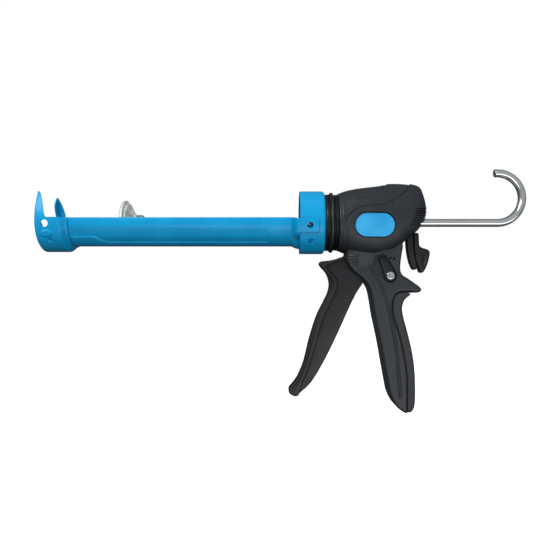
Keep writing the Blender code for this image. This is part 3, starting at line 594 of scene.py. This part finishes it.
def makeCap():
    # rows go from one horn's tip round the bottom to the other; each row runs from the nozzle's opening out
    # over the front plate, round its corner, and back along the wall, the step and the lip; above the rod
    # the wall follows an arc that passes through the tip
    tipX, tipY, tipZ = cap["tip"]
    arcMiddle = (cap["radius"]**2 - tipY**2 - tipZ**2) / (2 * (cap["radius"] - tipY))
    arcRadius = cap["radius"] - arcMiddle
    height = np.array(cap["partner"], float)
    upper = arcMiddle + np.sqrt(arcRadius**2 - height**2)
    lower = np.sqrt(np.maximum(cap["radius"]**2 - height**2, 0))
    outerPoint = np.stack([np.where(height > 0, upper, lower), height], axis=1)
    path = smoothCurve(np.hstack([outerPoint, cap["opening"]]), 128)
    outerZ = path[:, 1]
    outerY = np.where(outerZ > 0, arcMiddle + np.sqrt(np.maximum(arcRadius**2 - outerZ**2, 0)),
                      np.sqrt(np.maximum(cap["radius"]**2 - outerZ**2, 0)))
    outer, inner = np.stack([outerY, outerZ], axis=1)[:, None], path[:, None, 2:]
    inner[-1, 0, 0] = 0
    reach = outer - inner
    width = np.linalg.norm(reach, axis=2, keepdims=True)
    out = reach / width
    corner = np.minimum(cap["corner"], 0.35 * width)[..., 0]
    lean = (np.clip(outerZ, 0, tipZ) / tipZ)[:, None]**2.2
    front = cap["front"] + lean * (tipX - 1.2 - cap["front"])
    fillet = cap["fillet"] * np.exp(-np.maximum(outerZ[:, None] - cap["wallTop"], 0) / 1.8)
    rear = cap["hornRear"] + fillet + lean * (tipX + 0.9 - cap["hornRear"])

    share = np.linspace(0, 1, 18)[None]
    plate = inner + (outer - out * corner[..., None] - inner) * share[..., None]
    plateX = np.broadcast_to(front, plate.shape[:2])
    a = np.linspace(0, np.pi / 2, 7)[None, 1:]
    bend = outer - out * (corner * (1 - np.sin(a)))[..., None]
    bendX = front + corner * (1 - np.cos(a))
    share = np.linspace(0, 1, 18)[None, 1:]
    wallX = bendX[:, -1:] + (rear - bendX[:, -1:]) * share
    wall = np.broadcast_to(outer, (*wallX.shape, 2))
    backX = np.concatenate([np.linspace(cap["hornRear"] + cap["fillet"], cap["rear"], 24)[1:],
                            [-56.6, -56.0, -55.2, -54.4, -53.6, -52.8, -52.0, -51.4, -50.8, cap["lip"]]])
    backX = np.broadcast_to(backX[None], (len(path), len(backX)))
    stepIn = (cap["radius"] - cap["lipRadius"]) * ease(backX, cap["rear"] - 0.4, -50.6)
    back = outer * (1 - stepIn / np.linalg.norm(outer, axis=2))[..., None]

    flat = np.concatenate([plate, bend, wall, back], axis=1)
    x = np.concatenate([plateX, bendX, wallX, backX], axis=1)
    # an oval boss and a dimple are pressed into each side of the wall
    turn = np.degrees(np.arctan2(flat[..., 1], flat[..., 0]))
    onWall = np.arange(flat.shape[1])[None] >= plate.shape[1] + bend.shape[1]
    lift = 0
    for key in ("boss", "dimple"):
        middleX, middleTurn, wide, tall, top, rise = cap[key]
        spot = 1 - ease(np.hypot((x - middleX) / wide, (turn - middleTurn) / tall), top, 1.0)
        lift = lift + rise * spot
    flat = flat * (1 + np.where(onWall, lift, 0) / cap["radius"])[..., None]
    half = np.stack([x, flat[..., 0], flat[..., 1]], axis=-1)
    grid = np.concatenate([half, (half * (1, -1, 1))[-2::-1]])
    hornColumns = plate.shape[1] + bend.shape[1] + wall.shape[1] - 1
    rowTop = np.concatenate([outerZ[:-1], outerZ[-2::-1]])
    keep = (np.arange(x.shape[1] - 1)[None] < hornColumns) | (rowTop[:, None] < cap["wallTop"])
    keep[len(path) - 1:] = keep[:len(path) - 1][::-1]
    piece = newPiece("frontCap", grid, quads(*grid.shape[:2], keep=keep).tolist(), turnOut=False)
    thicken(piece, cap["sheet"])
    x, z, radius = cap["hole"]
    carve(piece, [sideBar("capDrill", x, z, -60, 60, radius)])
    fit(piece, "blue_paint", "barrel", "front_cap", angle=38)


# the dimple is given by x, degrees round the ring, and radius
ring = {"front": 195.0, "rear": 222.0, "radius": 34.3, "sheet": 1.2, "hole": 20.0, "corner": 4.2,
        "dimple": (206.4, -39.0, 3.0)}


def makeRing():
    # a closed outline of the ring's wall, carried round the rod
    front, rear, radius, sheet = ring["front"], ring["rear"], ring["radius"], ring["sheet"]
    profile = roundCorners([
        (front, radius, 0.4), (front, radius - sheet, 0.3), (rear - sheet, radius - sheet, 3.0),
        (rear - sheet, ring["hole"], 0.3), (rear, ring["hole"], 0.3), (rear, radius, ring["corner"])], 10)
    piece = turned("collarRing", profile, 160)
    drills = []
    dimpleX, low, dimpleR = ring["dimple"]
    x, z, radius = cradle["tabHole"]
    for side in (-1, 1):
        out = np.array([0, side * math.cos(math.radians(low)), math.sin(math.radians(low))])
        start = np.array([dimpleX, 0, 0])
        drills.append(bar("dimpleDrill", start + out * 22, start + out * 50, dimpleR))
        drills.append(sideBar("lapDrill", x, z, side * 20, side * 50, radius))
    carve(piece, drills)
    fit(piece, "blue_paint", "barrel", "collar_ring")


makeCradle()
makeCap()
makeRing()
print("caulking gun: half barrel, cap and ring")


# swivel

hub = {"front": 222.3, "rear": 235.9, "boss": 19.6, "bore": 8.0, "bossFront": 216.0, "groove": 28.3}
oRing = {"middle": 229.2, "major": 30.8, "minor": 2.1}


def makeSwivel():
    # a closed outline carried round the rod, with thin ridges beside the groove that the o-ring sits in
    profile = roundCorners([
        (hub["bossFront"], hub["bore"]), (hub["rear"], hub["bore"]), (hub["rear"], 30.2, 0.4),
        (235.0, 30.9, 0.3), (234.2, 30.0, 0.3), (233.2, 30.8, 0.3), (232.4, 29.8, 0.3), (231.6, 30.4, 0.3),
        (231.6, hub["groove"]), (226.8, hub["groove"]), (226.8, 31.0, 0.4), (225.6, 31.0, 0.3),
        (225.2, 30.2, 0.3), (224.6, 31.0, 0.3), (hub["front"], 30.4, 0.6), (hub["front"], hub["boss"]),
        (hub["bossFront"], hub["boss"])], 5)
    fit(turned("swivelHub", profile, 144), "lever_plastic", "housing", "swivel_hub")
    a = fullTurn(28)
    minor = oRing["minor"]
    circle = np.stack([oRing["middle"] - minor * np.sin(a), oRing["major"] + minor * np.cos(a)], axis=1)
    fit(turned("swivelORing", circle, 144), "o_ring_rubber", "housing", "swivel_o_ring")


makeSwivel()
print("caulking gun: swivel")


# housing and handle, moulded in one as two shells

# sections along the rod: x, top, bottom, half width, squareness
housingSections = [
    (236.2, 31.2, -30.8, 31.0, 2.0), (245.0, 34.4, -34.0, 30.6, 2.2), (257.0, 36.8, -37.0, 29.8, 2.5),
    (272.8, 38.7, -38.0, 28.8, 2.6), (286.0, 40.2, -36.0, 27.4, 2.6), (300.0, 41.2, -30.0, 25.4, 2.6),
    (311.0, 40.8, -19.5, 23.0, 2.6), (318.0, 40.2, -14.5, 21.0, 2.6), (322.5, 39.4, -10.2, 19.4, 2.6),
    (325.4, 38.2, -7.0, 17.8, 2.6), (327.4, 35.2, -3.6, 16.0, 2.5), (330.5, 27.2, -0.5, 13.0, 2.3),
    (333.0, 19.0, 4.0, 8.0, 2.0)]
# two lines sweep over each side, from the front up to the top rear: how fast the wall rises behind the line
# and fades away from it, its height, the groove's depth, place and width, how far from the middle plane both
# begin, the x where they begin, and how many points the line is read at
sweeps = {
    "swoosh": {"rise": 0.4, "fade": 11.0, "height": 1.2, "groove": (1.0, 0.6, 0.6), "from": (4.0, 9.0),
               "start": (242, 247), "count": 60,
               "points": [(243.4, -9.0), (244.4, -2.6), (246.9, 4.1), (253.4, 10.7), (261.1, 14.4),
                          (272.3, 15.6), (287.5, 18.2), (297.0, 22.9), (305.4, 28.8), (311.5, 35.0),
                          (314.0, 40.0)]},
    "crease": {"rise": 0.5, "fade": 14.0, "height": 1.0, "groove": (0.8, 0.5, 0.6), "from": (2.0, 7.0),
               "start": (244, 256), "count": 50,
               "points": [(243.0, 22.4), (255.0, 23.4), (268.0, 25.6), (278.4, 30.5), (286.5, 37.5),
                          (290.0, 42.0)]}}
# the edge of the panel over the selector's recess
arch = [(302.0, -31.4), (292.0, -30.4), (285.3, -31.5), (279.5, -34.0), (275.0, -37.2), (271.5, -41.5)]
# the finger grooves at the back of the housing; they end in front at the line (z, x)
serration = {"top": 13.2, "pitch": 2.55, "count": 8, "depth": 1.6, "width": 0.62, "shift": 1.1,
             "line": ([-6.0, 5.0, 14.0, 20.0], [312.0, 316.5, 318.5, 320.0])}
moulding = {"hump": 0.55, "beads": (238.2, 240.6), "beadHeight": 0.45, "frontEdge": 0.9}
# the badge's rim is the width of the band of painted shade round its edge
badge = {"middle": (271.6, -4.6), "length": 43.5, "height": 26.2, "yaw": 4.6, "floor": 25.4, "back": 25.7,
         "face": 28.0, "gap": 0.4, "dome": 0.5, "edge": 0.6, "rim": 0.8}
# the handle from its root inside the housing to its foot: (x, z) of the front edge, then of the back edge
handlePairs = [
    (252, -12, 300, -12), (246.6, -26, 306, -24), (244.7, -37, 304.4, -38), (246.5, -45.5, 303.3, -49.5),
    (253.3, -54, 305.2, -56.6), (260.3, -59.3, 312, -61.3), (265.4, -64.3, 318.5, -65.9),
    (268.3, -68.7, 324.4, -70.4), (270.0, -72, 326.1, -73.6), (271.2, -76, 322.5, -76.2),
    (272.2, -81, 311, -75.8), (273.0, -85.5, 300.4, -77), (273.8, -91, 295.6, -85),
    (275.0, -98.5, 295.3, -97), (277.9, -113, 299.6, -112.5), (281.2, -128, 304, -127.5),
    (286.2, -156, 309.3, -155),
    (289.2, -172, 310.8, -170), (291.8, -185, 310.8, -184), (295.4, -193.5, 310.8, -192),
    (300.3, -200.4, 310.8, -200), (306.3, -204.8, 310.8, -204.9), (309.8, -206.4, 310.8, -206.5)]
handle = {"half": 15.5, "frontEdge": 3.2, "backEdge": 3.2, "rows": 250, "columns": 120, "endRound": 4.0}
handleLines = {"ridge": 0.8, "apart": 1.25, "rib": 0.9, "ribs": (-37.0, -40.4, -43.8, -47.2), "swell": 3.2}
# a pair of fine ridges follows this line down each face of the handle
ridgeLine = [(275.4, -36.9), (271.8, -41.0), (270.2, -47.0), (273.4, -54.0), (280.4, -65.4),
             (287.0, -82.0), (291.9, -100.2), (298.1, -135.6), (301.4, -170.0), (303.3, -193.0)]
selector = {"pivot": (292.4, -57.9), "tip": (283.7, -40.0), "radius": 6.2, "tipHalf": 3.2, "tipReach": 1.5,
            "outer": -15.2, "inner": -10.3, "edge": 0.9, "shaft": 3.0, "seat": 4.6,
            "screw": 4.2, "screwFace": -15.6, "socket": 2.3}
recess = [(295.5, -64.8), (299.4, -58.0), (296.6, -51.2), (292.4, -44.0), (288.4, -37.6), (284.0, -34.8),
          (275.6, -37.0), (273.2, -42.0), (275.4, -50.2), (283.5, -60.8), (289.0, -65.2)]
recessFloor = -10.0
detents = {"places": ((292.2, -39.2), (296.0, -40.0)), "radius": 1.4, "floor": -12.0}
# x, z and the y of the seat under the head
caseScrews = {"front_top": (250.0, 24.0, 20.0), "front_low": (250.0, -24.0, 20.0),
              "rear_top": (302.0, 28.0, 18.0), "middle": (296.0, -32.0, 11.5),
              "grip_top": (308.0, -67.0, 11.5), "grip_low": (304.0, -190.0, 11.5)}
caseScrew = {"head": 3.2, "seat": 3.6, "hole": 1.8, "shank": 1.5, "socket": 1.5, "edge": 0.7}
triggerPivot = (274.5, -37.9)


def sweepLift(line, x, y, z):
    # the wall stands out behind the line, (1 - e^(-d/rise)) e^(-d/fade) at a distance d, and a groove runs
    # beside it
    off, side = offCurve(smoothCurve(line["points"], line["count"]), x, z)
    raised = np.where(side < 0, 1 - np.exp(-off / line["rise"]), 0) * np.exp(-off / line["fade"])
    depth, place, width = line["groove"]
    lift = line["height"] * raised - depth * bump(off * side, place, width)
    return ease(np.abs(y), *line["from"]) * lift * ease(x, *line["start"])


def housingForm():
    # superellipse sections along the rod, |y/a|^n + |z/b|^n = 1, with the moulded lines pushed in or out
    section = smoothCurve(housingSections, 200)
    x, top, bottom, half, square = (section[:, k, None] for k in range(5))
    x = np.clip(x, housingSections[0][0], housingSections[-1][0])
    # angles are read at equal steps of a section's length, so that fine lines on the sides keep their shape
    a = np.linspace(0, 2 * np.pi, 4001)
    rim = np.stack([np.sign(f) * np.abs(f)**0.8 for f in (np.cos(a), np.sin(a))], axis=1)
    travel = travelled(rim)
    a = np.interp(np.linspace(0, travel[-1], 400, endpoint=False), travel, a)[None]
    c, s = np.cos(a), np.sin(a)
    middle = (top + bottom) / 2
    y = half * np.sign(c) * np.abs(c)**(2 / square)
    z = middle + (top - bottom) / 2 * np.sign(s) * np.abs(s)**(2 / square)
    x = np.broadcast_to(x, y.shape)
    reach = np.hypot(y, z - middle)
    away = np.abs(y)
    lift = sweepLift(sweeps["swoosh"], x, y, z) + sweepLift(sweeps["crease"], x, y, z)
    hump = ease(x, 281.6, 286.0) * (1 - ease(x, 320.0, 327.0)) * ease(z, 34.0, 37.5)
    lift = lift + moulding["hump"] * hump
    heights = [serration["top"] - k * serration["pitch"] for k in range(serration["count"])]
    teeth = sum(bump(z, height, serration["width"]) for height in heights)
    edge = np.interp(z, *serration["line"])
    lift = lift - serration["depth"] * teeth * ease(x, edge - 2.5, edge + 3.5) * ease(away, 1.0, 4.0)
    off, side = offCurve(smoothCurve(arch, 40), x, z)
    lip = 0.5 * bump(off * side, 0.5, 0.45) - 0.6 * bump(off * side, -0.6, 0.5)
    lift = lift + ease(away, 8.0, 12.0) * lip
    beads = sum(bump(x, place, 0.5) for place in moulding["beads"])
    lift = lift + moulding["beadHeight"] * beads * ease(away, *sweeps["swoosh"]["from"])
    lift = lift - tuck(x - housingSections[0][0], moulding["frontEdge"])
    x = x - serration["shift"] * teeth * ease(x, 324.0, 331.0)
    scale = 1 + lift / reach
    grid = np.stack([x, y * scale, middle + (z - middle) * scale], axis=-1)
    return tubeFrom("housingForm", grid)


def handleRelief(x, z, u):
    # two fine ridges, small ribs over the trigger's pivot, and a swell that leads up into the housing: all
    # stand out, so they are below zero
    off, side = offCurve(smoothCurve(ridgeLine, 70), x, z)
    inside = ease(-z, 36.0, 40.0) * (1 - ease(-z, 186.0, 193.0))
    apart = handleLines["apart"]
    ridges = inside * (bump(off * side, apart, 0.5) + bump(off * side, -apart, 0.5))
    window = ease(x, 247.0, 249.0) * (1 - ease(x, 257.0, 260.0))
    ribs = sum(bump(z, height, 0.8) for height in handleLines["ribs"])
    swell = ease(z, -50.0, -30.0) * ease(x, 242.0, 256.0) * (1 - ease(x, 262.0, 292.0))
    lines = handleLines["ridge"] * ridges + handleLines["rib"] * ribs * window
    return -(lines + handleLines["swell"] * swell)


def badgeForm(name, side, share, height, grow=0.0):
    # an outline with round ends, shrunk towards its middle line by share at each height from the middle
    # plane, and turned to the slope of the housing's side
    length, tall = badge["length"] + 2 * grow, badge["height"] + 2 * grow
    a = fullTurn(72)
    line = np.where(np.cos(a) >= 0, 1.0, -1.0) * (length - tall) / 2
    spine = np.stack([line, np.zeros(72)], axis=1)
    outline = spine + tall / 2 * np.stack([np.cos(a), np.sin(a)], axis=1)
    flat = spine[None] + (outline - spine)[None] * share[:, None, None]
    x, z = flat[..., 0], flat[..., 1]
    y = side * np.broadcast_to(height[:, None], x.shape)
    yaw = math.radians(badge["yaw"]) * -side
    grid = np.stack([badge["middle"][0] + x * math.cos(yaw) - y * math.sin(yaw),
                     x * math.sin(yaw) + y * math.cos(yaw), badge["middle"][1] + z], axis=-1)
    return tubeFrom(name, grid)


def badgeSeat(side):
    # the cutter for the badge's pocket: its outline grown by the gap, straight up from the pocket's floor
    floor = badge["floor"]
    return badgeForm("badgeSeat", side, np.array([1.0, 1.0]), np.array([floor, floor + 15]), badge["gap"])


def makeBadge(name, side):
    # the face is a low dome with a rounded edge; the rim attribute is 1 within its width from the edge,
    # where the finish paints shade round the edge
    share = np.concatenate([[1.0], 1 - np.linspace(0, 0.12, 16), np.linspace(0.86, 0, 18)])
    height = badge["face"] - badge["back"] - badge["dome"] + badge["dome"] * np.sqrt(1 - share**2)
    height = badge["back"] + height - tuck((1 - share) * badge["height"] / 2, badge["edge"])
    height[0] = badge["back"]
    piece = badgeForm("badge" + name.title(), side, share, height)
    place = np.zeros(len(piece.data.vertices) * 3)
    piece.data.vertices.foreach_get("co", place)
    x, y, z = place.reshape(-1, 3).T / mm
    yaw = math.radians(badge["yaw"]) * -side
    lengthwise = np.abs((x - badge["middle"][0]) * math.cos(yaw) + y * math.sin(yaw))
    beyond = np.maximum(lengthwise - (badge["length"] - badge["height"]) / 2, 0)
    inset = badge["height"] / 2 - np.hypot(beyond, z - badge["middle"][1])
    # painted shade: 1 in a band round the badge's edge, fading to 0 inside it
    rim = piece.data.attributes.new("rim", "FLOAT", "POINT")
    rim.data.foreach_set("value", 1 - ease(inset, badge["rim"] - 0.15, badge["rim"] + 0.15))
    fit(piece, "badge_plastic", "housing", "badge_" + name)


def shellCutters():
    # the room inside both shells: chambers, the rod's way, pivots, slots, and the screws' seats
    cutters = [
        boxForm("driveChamber", (240.5, -12, -16), (281.5, 12, 17)),
        boxForm("brakeChamber", (285.5, -12, -9), (318, 12, 17)),
        rodBar("rodWayFront", 230, 245, 8.0),
        rodBar("rodWayMiddle", 278, 290, 5.2),
        rodBar("rodWayRear", 316, 323.8, 6.9),
        rodBar("rodExit", 323, 340, 5.4),
        sideBar("pivotBore", *triggerPivot, -9.3, 9.3, 3.3),
        sideBar("selectorBore", *selector["pivot"], -30, 0, 3.3),
        plateForm("triggerSlot", roundCorners([
            (236, -40), (243, -31.5), (256.5, -30.5), (257, -10), (281, -10), (285.5, -34), (286.5, -45),
            (283, -58), (281, -75), (280, -104), (262, -104), (236, -62)], 2), -4.2, 4.2),
        plateForm("releaseSlot", [
            (305.5, -2), (305.5, -30), (340, -30), (340, -10.2), (319, -10.2), (318, -2)], -7.0, 7.0),
        plateForm("handleHollow", [
            (284.5, -64), (286.5, -100), (289, -120), (296, -160), (299.5, -180), (306, -180),
            (302.5, -150), (297, -122), (291.5, -100), (291.0, -84), (297, -72), (299, -64), (299, -50),
            (287.5, -50)], -7.0, 9.5)]
    for name, (x, z, floor) in caseScrews.items():
        cutters.append(sideBar(name + "Seat", x, z, floor, 40, caseScrew["seat"]))
        cutters.append(sideBar(name + "Hole", x, z, -9, floor + 1, caseScrew["hole"]))
    return cutters


def makeShells():
    # housing and handle are joined, hollowed, and split along the middle plane with a hair's gap
    body = housingForm()
    carve(body, [paddle("handleForm", handlePairs, relief=handleRelief, **handle)], "UNION")
    cutters = shellCutters()
    for name, side in (("left", -1), ("right", 1)):
        shell = addObject("bodyShell" + name.title(), body.data.copy())
        low, high = (-0.15, 60.0) if side < 0 else (-60.0, 0.15)
        own = [badgeSeat(side), boxForm("split", (200, low, -240), (360, high, 80))]
        if side < 0:
            own.append(plateForm("recess", smoothCurve(recess, 90, closed=True), -22.0, recessFloor))
            for x, z in detents["places"]:
                own.append(sideBar("detent", x, z, -22, detents["floor"], detents["radius"], 20))
        carve(shell, cutters, keepCutters=True)
        carve(shell, own)
        fit(shell, "shell_plastic", "housing", "body_shell_" + name, angle=50)
        makeBadge(name, side)
    for cutter in cutters:
        bpy.data.objects.remove(cutter)
    bpy.data.objects.remove(body)


# the insert's front edge and back edge, from its top down
gripPairs = [
    (311, -76.1, 314.6, -77.7), (306, -76.4, 312.5, -80.4), (301, -77.2, 309.2, -83.2),
    (297.6, -80.6, 306.8, -88), (296, -86, 305.8, -94), (295.8, -98, 307.3, -103),
    (301.4, -117, 311.6, -119.5), (307.2, -140, 316.6, -141), (310.2, -160, 319.1, -160),
    (311.2, -176, 319.8, -178), (311.2, -192, 319.6, -194), (311.2, -200, 318.2, -201.2),
    (311.2, -205.6, 314.2, -206.0)]
gripInsert = {"half": 14.5, "frontEdge": 0.7, "backEdge": 4.2, "rows": 200, "columns": 40, "endRound": 3.0}


def makeGripInsert():
    # the insert stands out behind the handle and is let into its back
    piece = paddle("gripInsert", gripPairs, **gripInsert)
    fit(piece, "grip_rubber", "housing", "grip_insert")


def makeCaseScrews():
    # a pan head with a hexagon socket, on a plain shank
    for name, (x, z, floor) in caseScrews.items():
        head = plateForm("caseScrew_" + name, disc(x, z, caseScrew["head"], 40), floor + 0.3, floor + 2.6,
                         caseScrew["edge"])
        carve(head, [sideBar("shank", x, z, -8.5, floor + 1, caseScrew["shank"], 20)], "UNION")
        carve(head, [sideBar("socket", x, z, floor + 1.3, floor + 5, caseScrew["socket"], 6)])
        fit(head, "bare_steel", "housing", "case_screw_" + name)


makeShells()
makeGripInsert()
makeCaseScrews()
print("caulking gun: shells, badges and grip")


# trigger, thumb lever and thrust selector

# the web's outline in four smooth runs
webOutline = [
    [(220.5, -46.6), (230.0, -42.8), (246.4, -35.0)],
    [(246.4, -34.8), (258, -33.2), (266, -27), (269.6, -19.2)],
    [(277.6, -19.2), (281.0, -31), (282.4, -40), (278.5, -46), (272, -53), (264.5, -66), (256.3, -78.8),
     (234.3, -126.5), (221.1, -152.9), (207.5, -175), (195.0, -187.0)],
    [(189, -183), (203, -155), (214, -115), (227.0, -83), (231.5, -66), (226.2, -55.0), (220.5, -47.0)]]
# the finger flange: its outer edge and its inner edge, from the slot in the housing to the trigger's foot
flangePairs = [
    (240.6, -37.6, 241.6, -40.4), (235.0, -39.7, 236.2, -42.8), (229.0, -41.2, 230.8, -44.8),
    (222.5, -42.0, 226.6, -46.2), (217.9, -42.7, 224.8, -47.0), (216.5, -45.2, 224.4, -48.0),
    (218.5, -48.8, 225.8, -50.2), (222.5, -53.2, 229.6, -54.0), (225.7, -58.6, 233.8, -58.8),
    (227.4, -65.0, 236.6, -64.6), (227.4, -70.5, 236.2, -70.8), (225.6, -77.5, 233.6, -78.2),
    (222.9, -83.2, 229.9, -86.0), (213.4, -102.4, 221.0, -105.6), (205.7, -126.5, 213.6, -129.4),
    (199.1, -152.9, 206.6, -153.6), (194.9, -163.5, 203.0, -163.4), (191.4, -170.5, 199.8, -171.4),
    (186.9, -176.5, 197.4, -179.0), (183.2, -181.2, 195.4, -184.6), (183.2, -184.6, 193.9, -188.2),
    (185.6, -187.6, 190.9, -189.4), (188.2, -188.8, 189.4, -189.2)]


trigger = {"half": 3.5, "edge": 0.5, "bore": 5.3, "groove": 0.9}
flange = {"half": 9.0, "frontEdge": 2.4, "backEdge": 2.0, "rows": 260, "columns": 36, "endRound": 2.0}


def flangeRelief(x, z, u):
    # a groove down the flange's side, nearer its outer edge
    along = ease(-z, 50.0, 60.0) * (1 - ease(-z, 180.0, 187.0))
    return trigger["groove"] * along * bump(u, 0.34, 0.1)


def makeTrigger():
    # a flat web joined to the finger flange
    outline = np.concatenate([smoothCurve(run, 8 + 9 * len(run)) for run in webOutline])
    piece = plateForm("triggerLever", outline, -trigger["half"], trigger["half"], trigger["edge"], 3)
    carve(piece, [paddle("flange", flangePairs, relief=flangeRelief, **flange)], "UNION")
    carve(piece, [sideBar("bore", *triggerPivot, -20, 20, trigger["bore"], 48)])
    fit(piece, "lever_plastic", "trigger", "trigger_lever")


# the stem passes up into the housing and widens below into the thumb's pad; the curved guard stands in
# front of it: each has an outline, half its thickness, and the rounding of its rim
thumbLever = {
    "stem": ([(320.0, -20.0), (319.8, -11.8), (321.4, -11.3), (323.4, -11.3), (324.9, -12.4),
              (325.3, -20.0), (326.0, -25.6), (329.6, -27.8), (334.6, -29.4), (337.0, -32.4),
              (336.2, -39.0), (334.2, -46.0), (331.2, -52.4), (328.6, -54.9), (326.4, -53.4),
              (324.9, -48.8), (322.2, -42.0), (320.6, -31.0)], 6.4, 1.1),
    "guard": ([(312.0, -20.0), (312.6, -14.2), (314.6, -11.6), (318.4, -11.3), (319.4, -14.0),
               (320.0, -24.0), (321.0, -34.0), (322.8, -42.0), (323.8, -47.6), (322.4, -51.0),
               (319.6, -51.4), (316.6, -46.6), (314.2, -38.6), (312.6, -29.0)], 5.2, 1.6)}
thumbHollow = {"middle": (331.6, -40.6), "reach": (3.0, 8.4), "face": 6.4, "depth": 1.6, "above": 0.6,
               "lean": 0.28}


def makeThumbLever():
    forms = [plateForm("part_" + name, smoothCurve(outline, 150, closed=True), -half, half, rounding, 6)
             for name, (outline, half, rounding) in thumbLever.items()]
    piece = carve(forms[0], forms[1:], "UNION")
    # a shallow egg-shaped hollow in each side of the pad
    (x, z), (wide, tall) = thumbHollow["middle"], thumbHollow["reach"]
    a = fullTurn(48)
    share = np.sin(np.linspace(0.05, np.pi / 2, 10))[:, None]
    above = thumbHollow["above"]
    depth = thumbHollow["face"] + above - (thumbHollow["depth"] + above) * np.sqrt(1 - share**2)
    lean = thumbHollow["lean"] * tall * share * np.sin(a)
    for side in (-1, 1):
        grid = np.stack([x + wide * share * np.cos(a) + lean, side * depth + 0 * a,
                         z + tall * share * np.sin(a)], axis=-1)
        carve(piece, [tubeFrom("hollow", grid)])
    piece.name = "thumbLever"
    fit(piece, "lever_plastic", "release", "release_lever")


def makeSelector():
    # a teardrop outline: the round end about the pivot, drawn out to the blunt tip
    pivot, tip = np.array(selector["pivot"]), np.array(selector["tip"])
    along = (tip - pivot) / np.linalg.norm(tip - pivot)
    across = np.array([along[1], -along[0]])
    a = np.radians(np.linspace(8, -188, 40))[:, None]
    end = pivot + selector["radius"] * (np.cos(a) * across + np.sin(a) * along)
    far = tip + selector["tipReach"] * along
    wide = across * selector["tipHalf"]
    blunt = roundCorners([(*(pivot + 3 * along), 0.0), (*(far - wide), 1.2), (*(far + wide), 1.2)], 7)[7:]
    piece = plateForm("selectorBar", np.concatenate([end, blunt]), selector["outer"], selector["inner"],
                      selector["edge"], 4)
    carve(piece, [sideBar("shaft", *pivot, -10.6, -6.9, selector["shaft"])], "UNION")
    carve(piece, [sideBar("seat", *pivot, -30, -13.4, selector["seat"], 48)])
    fit(piece, "lever_plastic", "selector", "selector_bar")
    head = disc(*pivot, selector["screw"], 56)
    screw = plateForm("selectorScrew", head, selector["screwFace"], -13.7, 0.5)
    carve(screw, [sideBar("socket", *pivot, -20, -14.0, selector["socket"], 6)])
    fit(screw, "chromed_steel", "selector", "selector_screw")


makeTrigger()
makeThumbLever()
makeSelector()
print("caulking gun: trigger, thumb lever and selector")


# pusher and rod

pusher = {"radius": 24.3, "fins": 16, "finHeight": 1.9, "sleeve": 8.8}
# half the width across flats, x along the nut and the cone's radius there, and the sleeve and the eye
nut = {"half": 7.62, "x": [17.7, 18.3, 18.9, 22.8, 23.4, 24.0], "cone": [7.7, 8.3, 9.0, 9.0, 8.3, 7.7],
       "sleeve": 6.7, "eye": 4.75}
rod = {"radius": 4.4, "front": 4.0, "chamfer": 0.9, "hookX": 412.55, "hookRadius": 27.24, "hookTurn": 187.0}


def finLift(x, radius, angle):
    # ribs stand up from the back of the cone, outside its sleeve
    ridge = bump(np.mod(angle * pusher["fins"] / (2 * np.pi), 1), 0.5, 0.16)
    along = pusher["finHeight"] * ridge * ease(x, 6.6, 9.0) * (1 - ease(x, 13.0, 16.6))
    return along * (radius > pusher["sleeve"])


def makePusher():
    # a closed outline carried round the rod
    profile = roundCorners([
        (0.0, 0.0), (3.0, 0.0), (3.0, 7.0), (17.4, 7.0), (17.4, pusher["sleeve"], 0.5), (14.8, 9.6, 0.8),
        (12.8, 12.2, 1.0),
        (11.0, 15.6, 1.0), (9.4, 19.6, 1.0), (8.2, 20.8, 0.4), (7.4, 20.6, 0.3), (6.8, 22.8, 0.5),
        (6.2, pusher["radius"], 0.6), (4.0, pusher["radius"], 0.6), (3.0, 23.2, 0.5), (0.0, 12.0, 0.8)], 5)
    fit(turned("pusherPlate", profile, 192, lift=finLift), "grey_casting", "pusher", "pusher_plate")
    # the gland nut is a hexagon whose corners are turned off by a cone
    a = fullTurn(120)
    flat = nut["half"] / np.cos(np.mod(a + np.pi / 6, np.pi / 3) - np.pi / 6)
    radius = np.minimum(flat[None], np.array(nut["cone"])[:, None])
    x = np.broadcast_to(np.array(nut["x"])[:, None], radius.shape)
    piece = tubeFrom("glandNut", np.stack([x, radius * np.cos(a), radius * np.sin(a)], axis=-1))
    carve(piece, [rodBar("sleeve", 13.2, 20, nut["sleeve"], 48)], "UNION")
    carve(piece, [rodBar("eye", 10, 30, nut["eye"], 48)])
    fit(piece, "bare_steel", "pusher", "pusher_gland_nut")


def makeRod():
    # a circle carried along a straight and then an arc; both ends are chamfered
    turn = np.radians(np.linspace(-90, -90 + rod["hookTurn"], 120))
    straight = np.stack([np.linspace(rod["front"], rod["hookX"], 200), np.zeros(200)], axis=1)[:-1]
    bend = rod["hookRadius"]
    hook = np.stack([rod["hookX"] + bend * np.cos(turn), bend * (1 + np.sin(turn))], axis=1)
    path = np.concatenate([straight, hook])
    run = np.gradient(path, axis=0)
    run /= np.linalg.norm(run, axis=1)[:, None]
    along = travelled(path)
    ends = np.array([0, 0.1, 0.25, 0.5, 0.8, 1.2])
    reads = np.unique(np.concatenate([along, ends, along[-1] - ends]))
    px, pz, rx, rz = (np.interp(reads, along, column)[:, None] for column in (*path.T, *run.T))
    radius = (rod["radius"] - tuck(np.minimum(reads, reads[-1] - reads), rod["chamfer"]))[:, None]
    up, y = radius * np.sin(fullTurn(48)), radius * np.cos(fullTurn(48))
    grid = np.stack([px - rz * up, y, pz + rx * up], axis=-1)
    fit(tubeFrom("pushRod", grid), "chromed_steel", "rod", "push_rod")


makePusher()
makeRod()
print("caulking gun: pusher and rod")
